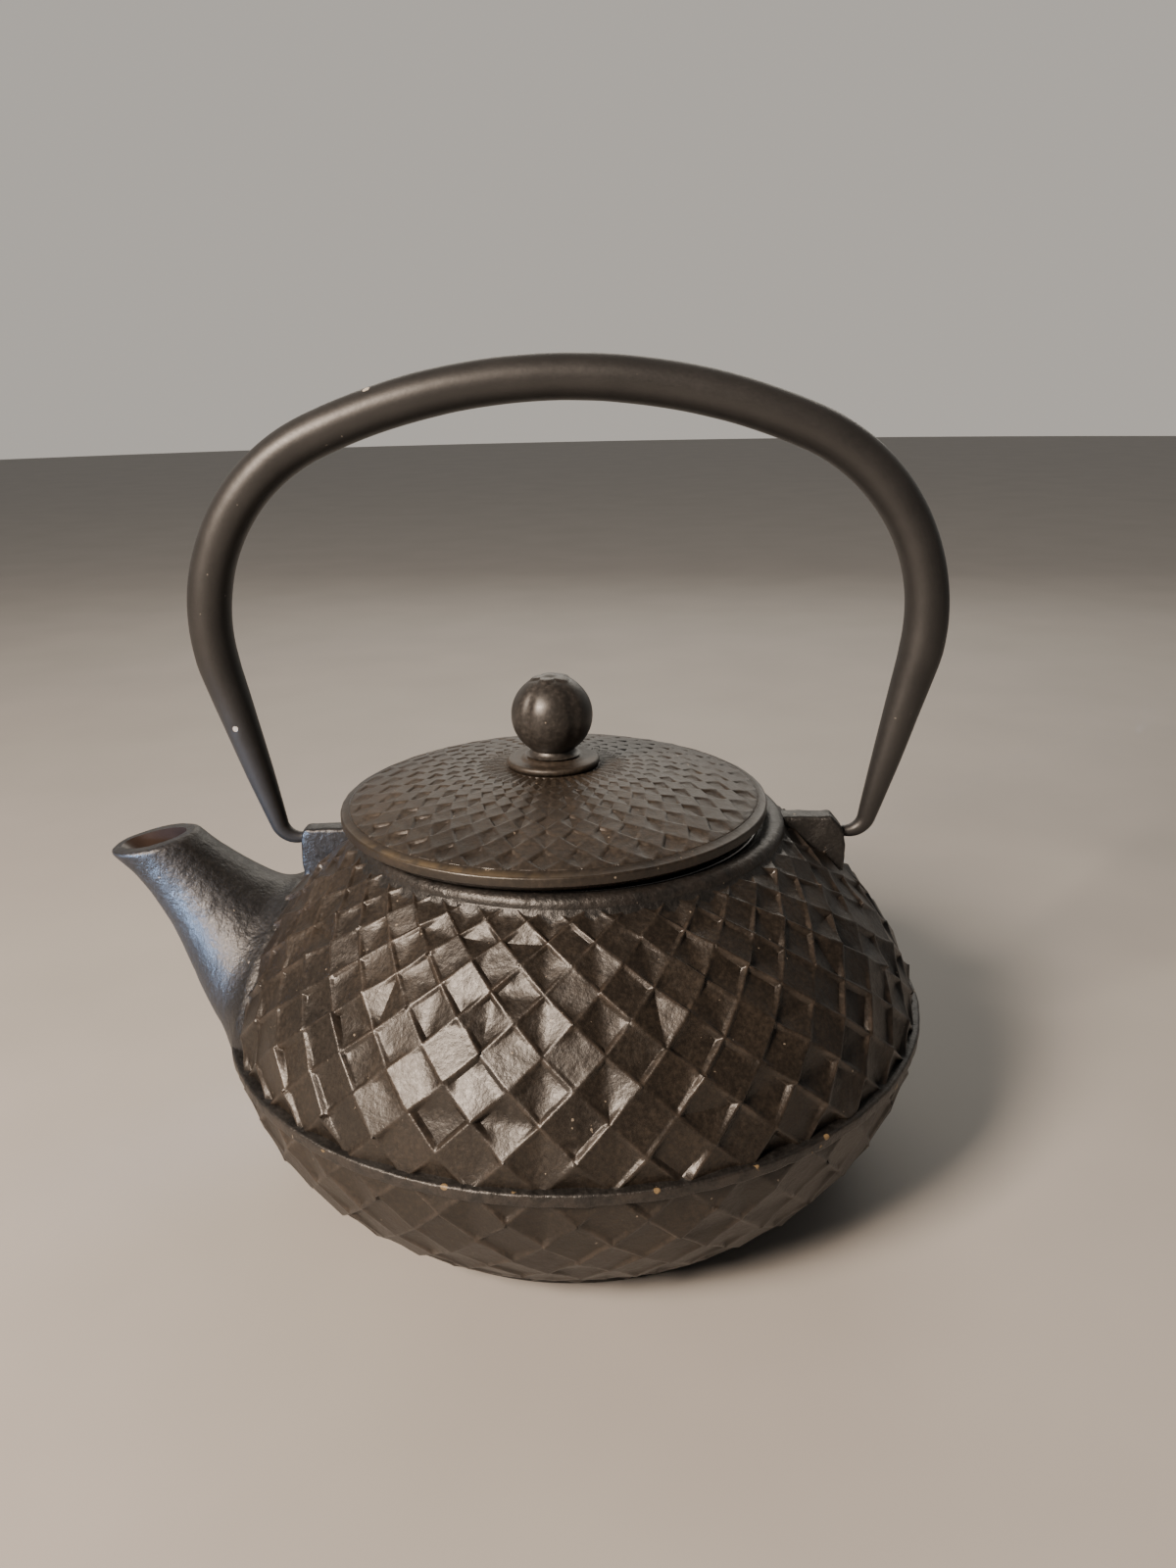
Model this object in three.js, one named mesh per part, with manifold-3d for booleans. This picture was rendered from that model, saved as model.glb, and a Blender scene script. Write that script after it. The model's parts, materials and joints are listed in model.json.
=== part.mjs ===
// A cast iron teapot: a hollow cast body with a short spout and two lugs, a lid with a
// ball knob, a bail handle hooked into the lugs, and a stainless steel infuser in the mouth.
// Units are millimetres. The origin is the centre of the foot, +Z is up, the spout points
// along -X, and the handle turns about the X direction through the two lugs.
import * as THREE from "three";
import { mergeVertices } from "three/addons/utils/BufferGeometryUtils.js";
import Module from "manifold-3d";

const wasm = await Module();
wasm.setup();

// ---------------------------------------------------------------- driving dimensions
// Body shell. Above and below the seam its outline is a quarter of a superellipse.
const SEAM_Z = 36; // height of the widest level, where the two mould halves met
const BELLY_R = 72.7; // mean radius at the seam
const UPPER = { height: 54.4, power: 1.68 }; // the quarter outline above the seam
const LOWER = { height: 50.5, power: 1.95 }; // the quarter outline below it
const WALL = 3.4; // shell thickness
const FLOOR_Z = 4; // top of the floor inside
const FOOT_EDGE = 1; // rounding where the foot meets the side

const RING_R = 73.5; // seam ring, standing a little proud of the belly
const RING_HALF = 1.2; // half of its height

const COLLAR_R = 44.3; // raised collar that the lid rests on
const COLLAR_Z = 76.7; // its flat top
const COLLAR_EDGE = 0.5; // its outer edge rounding
const REBATE_R = 39.4; // recess that takes the infuser's flange
const LEDGE_Z = 74.9; // ledge under that flange
const MOUTH_R = 36.6; // clear opening
const MOUTH_UNDER_Z = 71.2; // underside of the mouth's inner flange

// Spout: every section spans from a lower to an upper curve in the XZ plane.
const SPOUT_LOWER = [[-66, 27], [-84.5, 34], [-81.5, 56], [-98.4, 70]];
const SPOUT_UPPER = [[-52, 58], [-64.5, 60.5], [-71.5, 65.5], [-79.9, 73.7]];
const SPOUT_HALF_WIDTH = { root: 29, tip: 8.4, power: 1.75, egg: 0.35 };
const PASSAGE_HALF_WIDTH = { root: 14, tip: 5.2, power: 1.2, egg: 0 };
const SPOUT_LIP = 2.4; // wall of the spout above and below its passage
const SPOUT_PAST_END = 0.06; // how far the passage is cut past the mouth, as a share of its length

// Lugs that the handle hooks into.
const LUG_OUT_X = 57.3; // outer end face
const LUG_THICK = 5;
const RIGHT_LUG = { side: 1, topZ: 75.7, chamfer: 3 }; // away from the spout
const LEFT_LUG = { side: -1, topZ: 74.2, chamfer: 1.2 }; // above the spout, cast lower
const PIVOT_Z = 71.7; // handle axis
const PIN_HOLE_R = 1.6;
const PIN_HOLE_END_X = 49.9;

// Handle: a steel bar. Its centreline is a flat top arc, two corner arcs, two straight
// legs leaning inwards, two small elbows, and the pins that sit in the lugs.
const BAR_R = 4.4;
const PIN_R = 1.1;
const TAPER_LENGTH = 42.6; // from the lug's face to where the bar has its full thickness
const TAPER_POWER = 0.72; // quick at the elbow, then even
const HANDLE_TOP_Z = 163;
const TOP_ARC_R = 119.4;
const TOP_ARC_END = THREE.MathUtils.degToRad(23.4);
const CORNER_R = 39.6;
const LEG_HEADING = THREE.MathUtils.degToRad(104.3);
const ELBOW_R = 4.2;
const PIN_END_X = 50.5;

// Lid. It sits a little off the pot's axis, towards the spout, within its play.
const LID_X = -3.4;
const LID_R = 44;
const LID_UNDER_Z = 77; // seat, just above the collar
const LID_RIM_Z = 80.5; // top of the rim
const LID_RIM_SIDE = 1.5; // height of the rim's upright face
const LID_SEAT_R = 41.6; // outer edge of the seat, inside the undercut
const LID_CROWN_Z = 87.3; // flat under the knob
const LID_THICK = 3.2;
const SKIRT_R = 29.6;
const SKIRT_WALL = 2.4;
const SKIRT_END_Z = 69.5;

// Knob and its fastening.
const BALL_R = 8.35;
const BALL_Z = 97.9;
const NECK_R = 4.5;
const STUD_R = 2;
const STUD_HOLE_R = 2.35;
const STUD_END_Z = 78.2;
const KNOB_SEAT = { radius: 9.6, thick: 1.7, step: 0.5 };
const WASHER = { radius: 5.6, thick: 1 };
const NUT = { acrossCorners: 8.1, thick: 3.2 };

// Infuser.
const FLANGE = { radius: 39, thick: 0.6 };
const BAND = { radius: 35.2, wall: 0.5, endZ: 66 };
const MESH_WALL = { radius: 34.4, thick: 0.35, topZ: 71, endZ: 36.2 };
const BASE_RING = { radius: 35.2, wall: 0.5, lowZ: 34.2, topZ: 38.4, lipWidth: 2.4 };

const GAP = 0.3; // clearance kept between pieces that touch
const AROUND = { body: 60, lid: 60, small: 32, infuser: 48, spout: 24, bar: 14 };

// ---------------------------------------------------------------- helpers
// Turns a closed geometry into a solid for joining and cutting.
function toSolid(geometry) {
  const bare = geometry.clone();
  bare.deleteAttribute("normal");
  bare.deleteAttribute("uv");
  const merged = mergeVertices(bare, 1e-4);
  const corners = merged.index.array;
  const faces = [];
  for (let i = 0; i < corners.length; i += 3) {
    const [a, b, c] = corners.slice(i, i + 3);
    if (a !== b && b !== c && c !== a) faces.push(a, b, c);
  }
  const triVerts = new Uint32Array(faces);
  const vertProperties = merged.attributes.position.array;
  return new wasm.Manifold(new wasm.Mesh({ numProp: 3, vertProperties, triVerts }));
}

function toGeometry(solid) {
  const mesh = solid.getMesh();
  const geometry = new THREE.BufferGeometry();
  geometry.setAttribute("position", new THREE.BufferAttribute(mesh.vertProperties, 3));
  geometry.setIndex(new THREE.BufferAttribute(mesh.triVerts, 1));
  geometry.computeVertexNormals();
  return geometry;
}

// Revolves [radius, z] points about Z. They run from the axis, or from the bottom of
// a ring's outside, upwards along the outside and back.
function lathe(profile, segments) {
  const points = profile.map(([radius, z]) => new THREE.Vector2(radius, z));
  return new THREE.LatheGeometry(points, segments).rotateX(Math.PI / 2);
}

// A ring of rectangular section.
function ringProfile(inner, outer, low, high) {
  return [[inner, low], [outer, low], [outer, high], [inner, high], [inner, low]];
}

// Skins a list of rings of points, all with the same count, and closes both ends.
function loft(rings) {
  const count = rings[0].length;
  const ends = [rings[0], rings[rings.length - 1]];
  const centres = ends.map((ring) => {
    const sum = ring.reduce((total, point) => total.add(point), new THREE.Vector3());
    return sum.divideScalar(count);
  });
  const points = [...rings.flat(), ...centres];
  const firstCentre = points.length - 2;
  const lastCentre = points.length - 1;
  const lastRing = (rings.length - 1) * count;
  const index = [];
  for (let i = 0; i < count; i++) {
    const next = (i + 1) % count;
    for (let k = 0; k < rings.length - 1; k++) {
      const low = k * count;
      const high = low + count;
      index.push(low + i, low + next, high + next, low + i, high + next, high + i);
    }
    index.push(firstCentre, next, i, lastCentre, lastRing + i, lastRing + next);
  }
  const geometry = new THREE.BufferGeometry().setFromPoints(points);
  geometry.setIndex(index);
  geometry.computeVertexNormals();
  return geometry;
}

// Points on a quarter superellipse, from one angle to another. side is 1 above the
// seam and -1 below it.
function quarter(radius, { height, power }, side, from, to, steps) {
  const points = [];
  for (let i = 0; i <= steps; i++) {
    const angle = from + ((to - from) * i) / steps;
    const across = radius * Math.cos(angle) ** (2 / power);
    const up = height * Math.sin(angle) ** (2 / power);
    points.push([across, SEAM_Z + side * up]);
  }
  return points;
}

// The angle at which such a quarter reaches a given height above or below the seam.
const angleAt = ({ height, power }, up) => Math.asin((up / height) ** (power / 2));

// ---------------------------------------------------------------- body
function bodyOutside() {
  const footAngle = angleAt(LOWER, SEAM_Z - FOOT_EDGE);
  const lowRing = angleAt(LOWER, RING_HALF);
  const highRing = angleAt(UPPER, RING_HALF);
  const shoulder = Math.acos((COLLAR_R / BELLY_R) ** (UPPER.power / 2));
  const side = quarter(BELLY_R, LOWER, -1, footAngle, lowRing, 9);
  const upper = quarter(BELLY_R, UPPER, 1, highRing, shoulder, 11);
  const footR = side[0][0] - FOOT_EDGE;
  return toSolid(lathe([
    [0, 0], [footR, 0],
    ...side,
    [RING_R, SEAM_Z - RING_HALF / 2], [RING_R, SEAM_Z + RING_HALF / 2],
    ...upper,
    [COLLAR_R, COLLAR_Z - COLLAR_EDGE], [COLLAR_R - COLLAR_EDGE, COLLAR_Z], [0, COLLAR_Z],
  ], AROUND.body));
}

function bodyCavity() {
  const lower = { ...LOWER, height: LOWER.height - WALL };
  const upper = { ...UPPER, height: UPPER.height - WALL - 0.4 };
  const inside = BELLY_R - WALL;
  const above = COLLAR_Z + 1;
  return toSolid(lathe([
    [0, FLOOR_Z],
    ...quarter(inside, lower, -1, angleAt(lower, SEAM_Z - FLOOR_Z), 0, 6),
    ...quarter(inside, upper, 1, 0, angleAt(upper, MOUTH_UNDER_Z - SEAM_Z), 8).slice(1),
    [MOUTH_R, MOUTH_UNDER_Z], [MOUTH_R, LEDGE_Z], [REBATE_R, LEDGE_Z], [REBATE_R, above], [0, above],
  ], AROUND.body));
}

// One section of the spout or of its passage: an oval between the two side curves.
function spoutSection(share, width, inset) {
  const [lower, upper] = [SPOUT_LOWER, SPOUT_UPPER].map((corners) => {
    const curve = new THREE.CubicBezierCurve3(...corners.map(([x, z]) => new THREE.Vector3(x, 0, z)));
    return curve.getPoint(share);
  });
  const middle = lower.clone().add(upper).divideScalar(2);
  const half = upper.clone().sub(lower).divideScalar(2);
  half.setLength(half.length() - inset);
  const left = Math.max(1 - share, 0) ** width.power;
  const halfWidth = width.tip + (width.root - width.tip) * left;
  const ring = [];
  for (let i = 0; i < AROUND.spout; i++) {
    const angle = (2 * Math.PI * i) / AROUND.spout;
    const point = middle.clone().addScaledVector(half, Math.cos(angle));
    const egg = 1 - width.egg * left * Math.cos(angle); // wider towards the lower curve
    ring.push(point.setY(halfWidth * egg * Math.sin(angle)));
  }
  return ring;
}

function spoutLoft(width, inset, end) {
  const steps = 12;
  const rings = [];
  for (let i = 0; i <= steps; i++) rings.push(spoutSection((end * i) / steps, width, inset));
  return toSolid(loft(rings));
}

// A flat plate standing on the shoulder, its inner end merging with the collar.
function lug({ side, topZ, chamfer }) {
  const inner = COLLAR_R - 0.5;
  const outline = new THREE.Shape([
    new THREE.Vector2(inner, topZ),
    new THREE.Vector2(inner, PIVOT_Z + 0.6),
    new THREE.Vector2(LUG_OUT_X, PIVOT_Z - 9.4),
    new THREE.Vector2(LUG_OUT_X, PIVOT_Z - 3),
    new THREE.Vector2(LUG_OUT_X - 0.4, topZ - chamfer),
    new THREE.Vector2(LUG_OUT_X - chamfer, topZ),
  ]);
  const plate = new THREE.ExtrudeGeometry(outline, { depth: LUG_THICK, bevelEnabled: false });
  plate.rotateX(Math.PI / 2).translate(0, LUG_THICK / 2, 0);
  if (side < 0) plate.rotateZ(Math.PI);
  return toSolid(plate);
}

function pinHole(side) {
  const outside = LUG_OUT_X + 1;
  const length = outside - PIN_HOLE_END_X;
  const drill = new THREE.CylinderGeometry(PIN_HOLE_R, PIN_HOLE_R, length, 16).rotateZ(Math.PI / 2);
  drill.translate((side * (outside + PIN_HOLE_END_X)) / 2, 0, PIVOT_Z);
  return toSolid(drill);
}

function bodyCasting() {
  let solid = bodyOutside().add(spoutLoft(SPOUT_HALF_WIDTH, 0, 1));
  for (const shape of [LEFT_LUG, RIGHT_LUG]) solid = solid.add(lug(shape));
  solid = solid.subtract(bodyCavity());
  solid = solid.subtract(spoutLoft(PASSAGE_HALF_WIDTH, SPOUT_LIP, 1 + SPOUT_PAST_END));
  for (const side of [-1, 1]) solid = solid.subtract(pinHole(side));
  return toGeometry(solid);
}

// ---------------------------------------------------------------- handle
// Centreline stations from the middle of the top to the pin, on the +X side. heading is
// the way the bar runs, 0 along +X, turning downwards.
function handleStations() {
  const stations = [];
  let [x, z] = [0, HANDLE_TOP_Z];
  let heading = 0;
  const arc = (radius, end, steps) => {
    const centre = [x - radius * Math.sin(heading), z - radius * Math.cos(heading)];
    const start = heading;
    for (let i = 1; i <= steps; i++) {
      heading = start + ((end - start) * i) / steps;
      [x, z] = [centre[0] + radius * Math.sin(heading), centre[1] + radius * Math.cos(heading)];
      stations.push({ x, z, heading });
    }
  };
  const straight = (length, steps) => {
    for (let i = 1; i <= steps; i++) {
      x += (length / steps) * Math.cos(heading);
      z -= (length / steps) * Math.sin(heading);
      stations.push({ x, z, heading });
    }
  };
  stations.push({ x, z, heading });
  arc(TOP_ARC_R, TOP_ARC_END, 5);
  arc(CORNER_R, LEG_HEADING, 9);
  const drop = z - PIVOT_Z - ELBOW_R * (1 + Math.cos(LEG_HEADING));
  straight(drop / Math.sin(LEG_HEADING), 5);
  arc(ELBOW_R, Math.PI, 6);
  straight(x - PIN_END_X, 1);
  return stations;
}

// Adds the bar's radius at each station, from the distance left to the lug's face.
function withRadii(stations) {
  let travelled = stations[stations.length - 1].x - LUG_OUT_X;
  for (let i = stations.length - 1; i >= 0; i--) {
    const share = THREE.MathUtils.clamp(travelled / TAPER_LENGTH, 0, 1);
    stations[i].radius = PIN_R + (BAR_R - PIN_R) * share ** TAPER_POWER;
    const before = stations[Math.max(i - 1, 0)];
    travelled += Math.hypot(before.x - stations[i].x, before.z - stations[i].z);
  }
  return stations;
}

function handleBar() {
  const half = withRadii(handleStations());
  const mirrored = half.slice(1).reverse().map((s) => ({ ...s, x: -s.x, heading: -s.heading }));
  const rings = [...mirrored, ...half].map(({ x, z, heading, radius }) => {
    const ring = [];
    for (let i = 0; i < AROUND.bar; i++) {
      const angle = (2 * Math.PI * i) / AROUND.bar;
      const out = radius * Math.cos(angle);
      const along = -radius * Math.sin(angle);
      ring.push(new THREE.Vector3(x + out * Math.sin(heading), along, z + out * Math.cos(heading)));
    }
    return ring;
  });
  return loft(rings);
}

// ---------------------------------------------------------------- lid and knob
// Height of the lid's domed top at a given radius: an arc from the rim to the crown.
function lidTop(radius) {
  const rise = LID_CROWN_Z - LID_RIM_Z;
  const span = LID_R - KNOB_SEAT.radius;
  const dome = (span ** 2 + rise ** 2) / (2 * rise);
  const out = Math.max(radius - KNOB_SEAT.radius, 0);
  return LID_CROWN_Z - (dome - Math.sqrt(dome ** 2 - out ** 2));
}

function lidCasting() {
  const steps = 7;
  const rimR = LID_R - 0.6;
  const top = [];
  const under = [];
  for (let i = 0; i <= steps; i++) {
    const radius = rimR + ((KNOB_SEAT.radius - rimR) * i) / steps;
    top.push([radius, lidTop(radius)]);
  }
  const dishR = SKIRT_R - SKIRT_WALL;
  for (let i = 0; i <= 4; i++) {
    const radius = KNOB_SEAT.radius + ((dishR - KNOB_SEAT.radius) * i) / 4;
    under.push([radius, lidTop(radius) - LID_THICK]);
  }
  const start = [STUD_HOLE_R, LID_CROWN_Z - LID_THICK];
  return lathe([
    start,
    ...under,
    [dishR, SKIRT_END_Z], [SKIRT_R, SKIRT_END_Z], [SKIRT_R, LID_UNDER_Z],
    [LID_SEAT_R, LID_UNDER_Z], [LID_R, LID_RIM_Z - LID_RIM_SIDE - 0.5], [LID_R, LID_RIM_Z - 0.5],
    ...top,
    [STUD_HOLE_R, LID_CROWN_Z],
    start,
  ], AROUND.lid);
}

function knobCasting() {
  const seatTop = LID_CROWN_Z + GAP + KNOB_SEAT.thick + GAP;
  const from = Math.asin(NECK_R / BALL_R);
  const ball = [];
  const steps = 12;
  for (let i = 0; i < steps; i++) {
    const angle = from + ((Math.PI - from) * i) / steps;
    ball.push([BALL_R * Math.sin(angle), BALL_Z - BALL_R * Math.cos(angle)]);
  }
  return lathe([
    [0, STUD_END_Z], [STUD_R, STUD_END_Z], [STUD_R, seatTop], [NECK_R + 0.8, seatTop],
    [NECK_R, seatTop + 0.9],
    ...ball,
    [0, BALL_Z + BALL_R],
  ], AROUND.small);
}

function knobSeat() {
  const low = LID_CROWN_Z + GAP;
  const high = low + KNOB_SEAT.thick;
  const { radius, step } = KNOB_SEAT;
  return lathe([
    [STUD_HOLE_R, low], [radius, low], [radius, high - step], [radius - 2.4, high - step],
    [radius - 2.8, high], [STUD_HOLE_R, high], [STUD_HOLE_R, low],
  ], AROUND.small);
}

function knobWasher() {
  const high = LID_CROWN_Z - LID_THICK - GAP;
  return lathe(ringProfile(STUD_HOLE_R, WASHER.radius, high - WASHER.thick, high), AROUND.small);
}

function knobNut() {
  const high = LID_CROWN_Z - LID_THICK - GAP - WASHER.thick - GAP;
  const hexagon = new THREE.Shape();
  for (let i = 0; i < 6; i++) {
    const angle = (Math.PI * i) / 3;
    const [x, y] = [Math.cos(angle), Math.sin(angle)].map((v) => (v * NUT.acrossCorners) / 2);
    if (i === 0) hexagon.moveTo(x, y);
    else hexagon.lineTo(x, y);
  }
  hexagon.holes.push(new THREE.Path().absarc(0, 0, STUD_HOLE_R, 0, 2 * Math.PI, true));
  const options = { depth: NUT.thick, bevelEnabled: false, curveSegments: 12 };
  return new THREE.ExtrudeGeometry(hexagon, options).translate(0, 0, high - NUT.thick);
}

// ---------------------------------------------------------------- infuser
// Flange and upper band, drawn from one sheet.
function infuserCollar() {
  const low = LEDGE_Z + GAP;
  const high = low + FLANGE.thick;
  const inner = BAND.radius - BAND.wall;
  return lathe([
    [inner, BAND.endZ], [BAND.radius, BAND.endZ], [BAND.radius, low], [FLANGE.radius, low],
    [FLANGE.radius, high], [inner, high], [inner, BAND.endZ],
  ], AROUND.infuser);
}

function infuserMeshWall() {
  const { radius, thick, topZ, endZ } = MESH_WALL;
  return lathe(ringProfile(radius - thick, radius, endZ, topZ), AROUND.infuser);
}

// A cup-edged ring that holds the bottom of the wall and the edge of the bottom mesh.
function infuserBottomRing() {
  const { radius, wall, lowZ, topZ, lipWidth } = BASE_RING;
  const inner = radius - wall;
  return lathe([
    [inner - lipWidth, lowZ], [radius, lowZ], [radius, topZ], [inner, topZ],
    [inner, lowZ + wall], [inner - lipWidth, lowZ + wall], [inner - lipWidth, lowZ],
  ], AROUND.infuser);
}

function infuserBottomMesh() {
  const low = BASE_RING.lowZ + BASE_RING.wall + GAP;
  const high = low + MESH_WALL.thick;
  const radius = MESH_WALL.radius - MESH_WALL.thick - GAP;
  return lathe([[0, low], [radius, low], [radius, high], [0, high]], AROUND.infuser);
}

// ---------------------------------------------------------------- assembly
const IRON = { color: 0x2b2420, roughness: 0.5, metalness: 0.7 };
const KNOB_IRON = { color: 0x2a2522, roughness: 0.4, metalness: 0.7 };
const PAINTED_STEEL = { color: 0x232222, roughness: 0.45, metalness: 0.3 };
const STAINLESS = { color: 0xb9bbbd, roughness: 0.3, metalness: 1 };

function piece(name, geometry, finish) {
  const mesh = new THREE.Mesh(geometry, new THREE.MeshStandardMaterial(finish));
  mesh.name = name;
  return mesh;
}

const teapot = new THREE.Group();
teapot.add(piece("body", bodyCasting(), IRON));
teapot.add(piece("handle", handleBar(), PAINTED_STEEL));

const lidGroup = new THREE.Group();
lidGroup.position.x = LID_X;
lidGroup.add(piece("lid", lidCasting(), IRON));
lidGroup.add(piece("knob", knobCasting(), KNOB_IRON));
lidGroup.add(piece("knob_seat", knobSeat(), KNOB_IRON));
lidGroup.add(piece("knob_washer", knobWasher(), PAINTED_STEEL));
lidGroup.add(piece("knob_nut", knobNut(), PAINTED_STEEL));
teapot.add(lidGroup);

teapot.add(piece("infuser_collar", infuserCollar(), STAINLESS));
teapot.add(piece("infuser_mesh_wall", infuserMeshWall(), STAINLESS));
teapot.add(piece("infuser_bottom_ring", infuserBottomRing(), STAINLESS));
teapot.add(piece("infuser_bottom_mesh", infuserBottomMesh(), STAINLESS));

export default teapot;
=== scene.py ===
"""A cast iron teapot with a diamond relief, a ball-knobbed lid, a bail handle and a steel infuser.

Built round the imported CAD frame. Shapes are worked out in millimetres and scaled to metres when
a mesh is made. The origin is the centre of the foot, +Z is up and the spout points along -X.
"""
import json
import math

import bmesh
import bpy
import numpy as np
from mathutils import Matrix, Vector


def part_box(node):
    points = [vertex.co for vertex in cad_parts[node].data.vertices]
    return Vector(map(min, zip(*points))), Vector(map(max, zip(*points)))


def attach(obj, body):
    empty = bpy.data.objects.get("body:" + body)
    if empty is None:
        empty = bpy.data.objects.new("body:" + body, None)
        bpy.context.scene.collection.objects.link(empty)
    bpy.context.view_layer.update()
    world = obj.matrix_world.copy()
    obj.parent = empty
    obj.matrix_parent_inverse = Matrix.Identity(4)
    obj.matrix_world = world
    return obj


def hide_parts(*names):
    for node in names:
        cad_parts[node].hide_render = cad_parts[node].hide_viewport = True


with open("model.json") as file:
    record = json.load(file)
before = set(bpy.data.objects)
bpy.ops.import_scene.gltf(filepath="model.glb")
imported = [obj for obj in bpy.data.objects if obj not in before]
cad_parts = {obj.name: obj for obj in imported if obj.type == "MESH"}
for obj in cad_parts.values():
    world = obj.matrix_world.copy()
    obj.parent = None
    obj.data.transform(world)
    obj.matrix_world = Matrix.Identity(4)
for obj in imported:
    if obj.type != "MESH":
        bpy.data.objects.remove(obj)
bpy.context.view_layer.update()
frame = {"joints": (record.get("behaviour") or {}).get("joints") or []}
MM = 0.001


def cad_box(node):
    """The low and high corners of a CAD node, in millimetres."""
    return [np.array(corner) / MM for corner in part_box(node)]


# ------------------------------------------------------------------ sizes taken from the frame
BODY_HI = cad_box("body")[1]
LID_LO, LID_HI = cad_box("lid")
KNOB_LO, KNOB_HI = cad_box("knob")
HANDLE_LO, HANDLE_HI = cad_box("handle")
SEAT_LO, SEAT_HI = cad_box("knob_seat")
WASHER_LO, WASHER_HI = cad_box("knob_washer")
NUT_LO, NUT_HI = cad_box("knob_nut")
BAND_LO, BAND_HI = cad_box("infuser_collar")
MESH_LO, MESH_HI = cad_box("infuser_mesh_wall")
BASE_LO, BASE_HI = cad_box("infuser_bottom_ring")
SIEVE_LO, SIEVE_HI = cad_box("infuser_bottom_mesh")
PIVOT_Z = next(j for j in frame["joints"] if j["name"] == "handle_swing")["pos_m"][2] / MM

RING_R = BODY_HI[1]  # seam ring
COLLAR_Z = BODY_HI[2]
LID_X = (LID_LO[0] + LID_HI[0]) / 2
LID_R = (LID_HI[0] - LID_LO[0]) / 2
LID_CROWN_Z = LID_HI[2]
SKIRT_END_Z = LID_LO[2]
KNOB_TOP_Z = KNOB_HI[2]
STUD_END_Z = KNOB_LO[2]
BALL_R = (KNOB_HI[0] - KNOB_LO[0]) / 2
BALL_Z = KNOB_TOP_Z - BALL_R
SEAT_R = (SEAT_HI[0] - SEAT_LO[0]) / 2
BAR_R = (HANDLE_HI[1] - HANDLE_LO[1]) / 2
HANDLE_TOP_Z = HANDLE_HI[2] - BAR_R

# ------------------------------------------------------------------ the casting's own sizes
SEAM_Z = 36
BELLY_R = 72.7  # mean radius at the seam
UPPER = (54.4, 1.68)  # height and power of the superellipse quarter above the seam
LOWER = (50.5, 1.95)  # and below it
WALL = 3.4
FLOOR_Z = 4
RING_HALF = 1.2
COLLAR_R = 44.3
REBATE_R = 39.4
LEDGE_Z = 74.9
MOUTH_R = 36.6
MOUTH_UNDER_Z = 71.2
LUG_OUT_X = 57.3
LUG_THICK = 5
LUG_BEVEL = 0.8
RIGHT_LUG = (1, 75.7, 3)  # side, top, chamfer
LEFT_LUG = (-1, 74.2, 1.2)
PIN_HOLE_R = 1.6
PIN_HOLE_END_X = 49.9
SPOUT_LOWER = [(-66, 27), (-84.5, 34), (-81.5, 56), (-98.4, 70)]
SPOUT_UPPER = [(-52, 58), (-64.5, 60.5), (-71.5, 65.5), (-79.9, 73.7)]
SPOUT_WIDTH = (29, 8.4, 1.75, 0.35)  # root and tip half width, power, egg shape
PASSAGE_WIDTH = (14, 5.2, 1.2, 0)
SPOUT_WALL = 2.4
LIP_ROUND = 0.85
ROOT_FILLET = 3.4

# Relief: a diamond lattice of small sunken facets between worn ridges. A row is half a diamond
# high. ROW_UP and ROW_DOWN are distances along the wall from the seam to each row.
COLUMNS = 38
FIRST_COLUMN = -93.0  # degrees round Z, where the camera side is -90
ROW_UP = [0, 6.0, 12.0, 17.6, 23.0, 28.4, 33.6, 38.5, 42.9, 46.8]
ROW_DOWN = [0, 6.0, 12.0, 17.6, 23.0, 28.4, 33.6, 38.5]
# The step at a diamond's border, from the border inwards: share of the side, share of the step.
BODY_STEP = [(0, 1), (0.032, 0.88), (0.075, 0.3), (0.12, 0)]
LID_STEP = [(0, 1), (0.06, 0.7), (0.14, 0)]
RELIEF_DEPTH = 2.1  # millimetres for a facet height of 1

# The lid and its knob. LATTICE_R is where the pattern's lattice would start; PATTERN_R cuts it off.
LID_RIM_Z = 80.5
LID_SEAT_R = 41.6
LID_UNDER_Z = 77
LID_THICK = 3.2
SKIRT_R = 29.6
SKIRT_WALL = 2.4
STUD_R = 2
STUD_HOLE_R = 2.35
NECK_R = 4.5
PATTERN_R = 42.3
LATTICE_R = 43.4
LID_COLUMNS = 40
LID_ROWS = 19
FLUTED_ROW = 14  # from here inwards the pattern is plain flutes
LOBES = 5
LOBE_TURN = 360 / LOBES

# The infuser's woven wire.
WIRE_PITCH = 1.2
WIRE_R = 0.16
WIRE_SWAY = WIRE_R * 0.95  # how far a wire waves to pass over and under the others
WIRE_SIDES = 4
UP = np.array([0, 0, 1.0])

# Marks seen in the photograph: paint knocked off the handle, and rust near the seam.
CHIPS = [(-36.2, -1.6, 161.4), (-67.8, -3.4, 96.6)]
RUST_SPOTS = [(-19.7, -70.7, 37.1), (15.3, -71.8, 37.1), (17.2, -69.9, 40.5), (45.3, -57.8, 37.1)]

# The stage. The camera was fitted to the seam ring, the lid's rim and the handle in the photograph.
FLOOR_R = 3500
CAMERA_PLACE = (9.3, -232.1, 161.4)
CAMERA_TURN = (-1.39, 18.72, -1.17)  # pan, pitch downwards and roll, in degrees
CAMERA_LENS = 27


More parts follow.
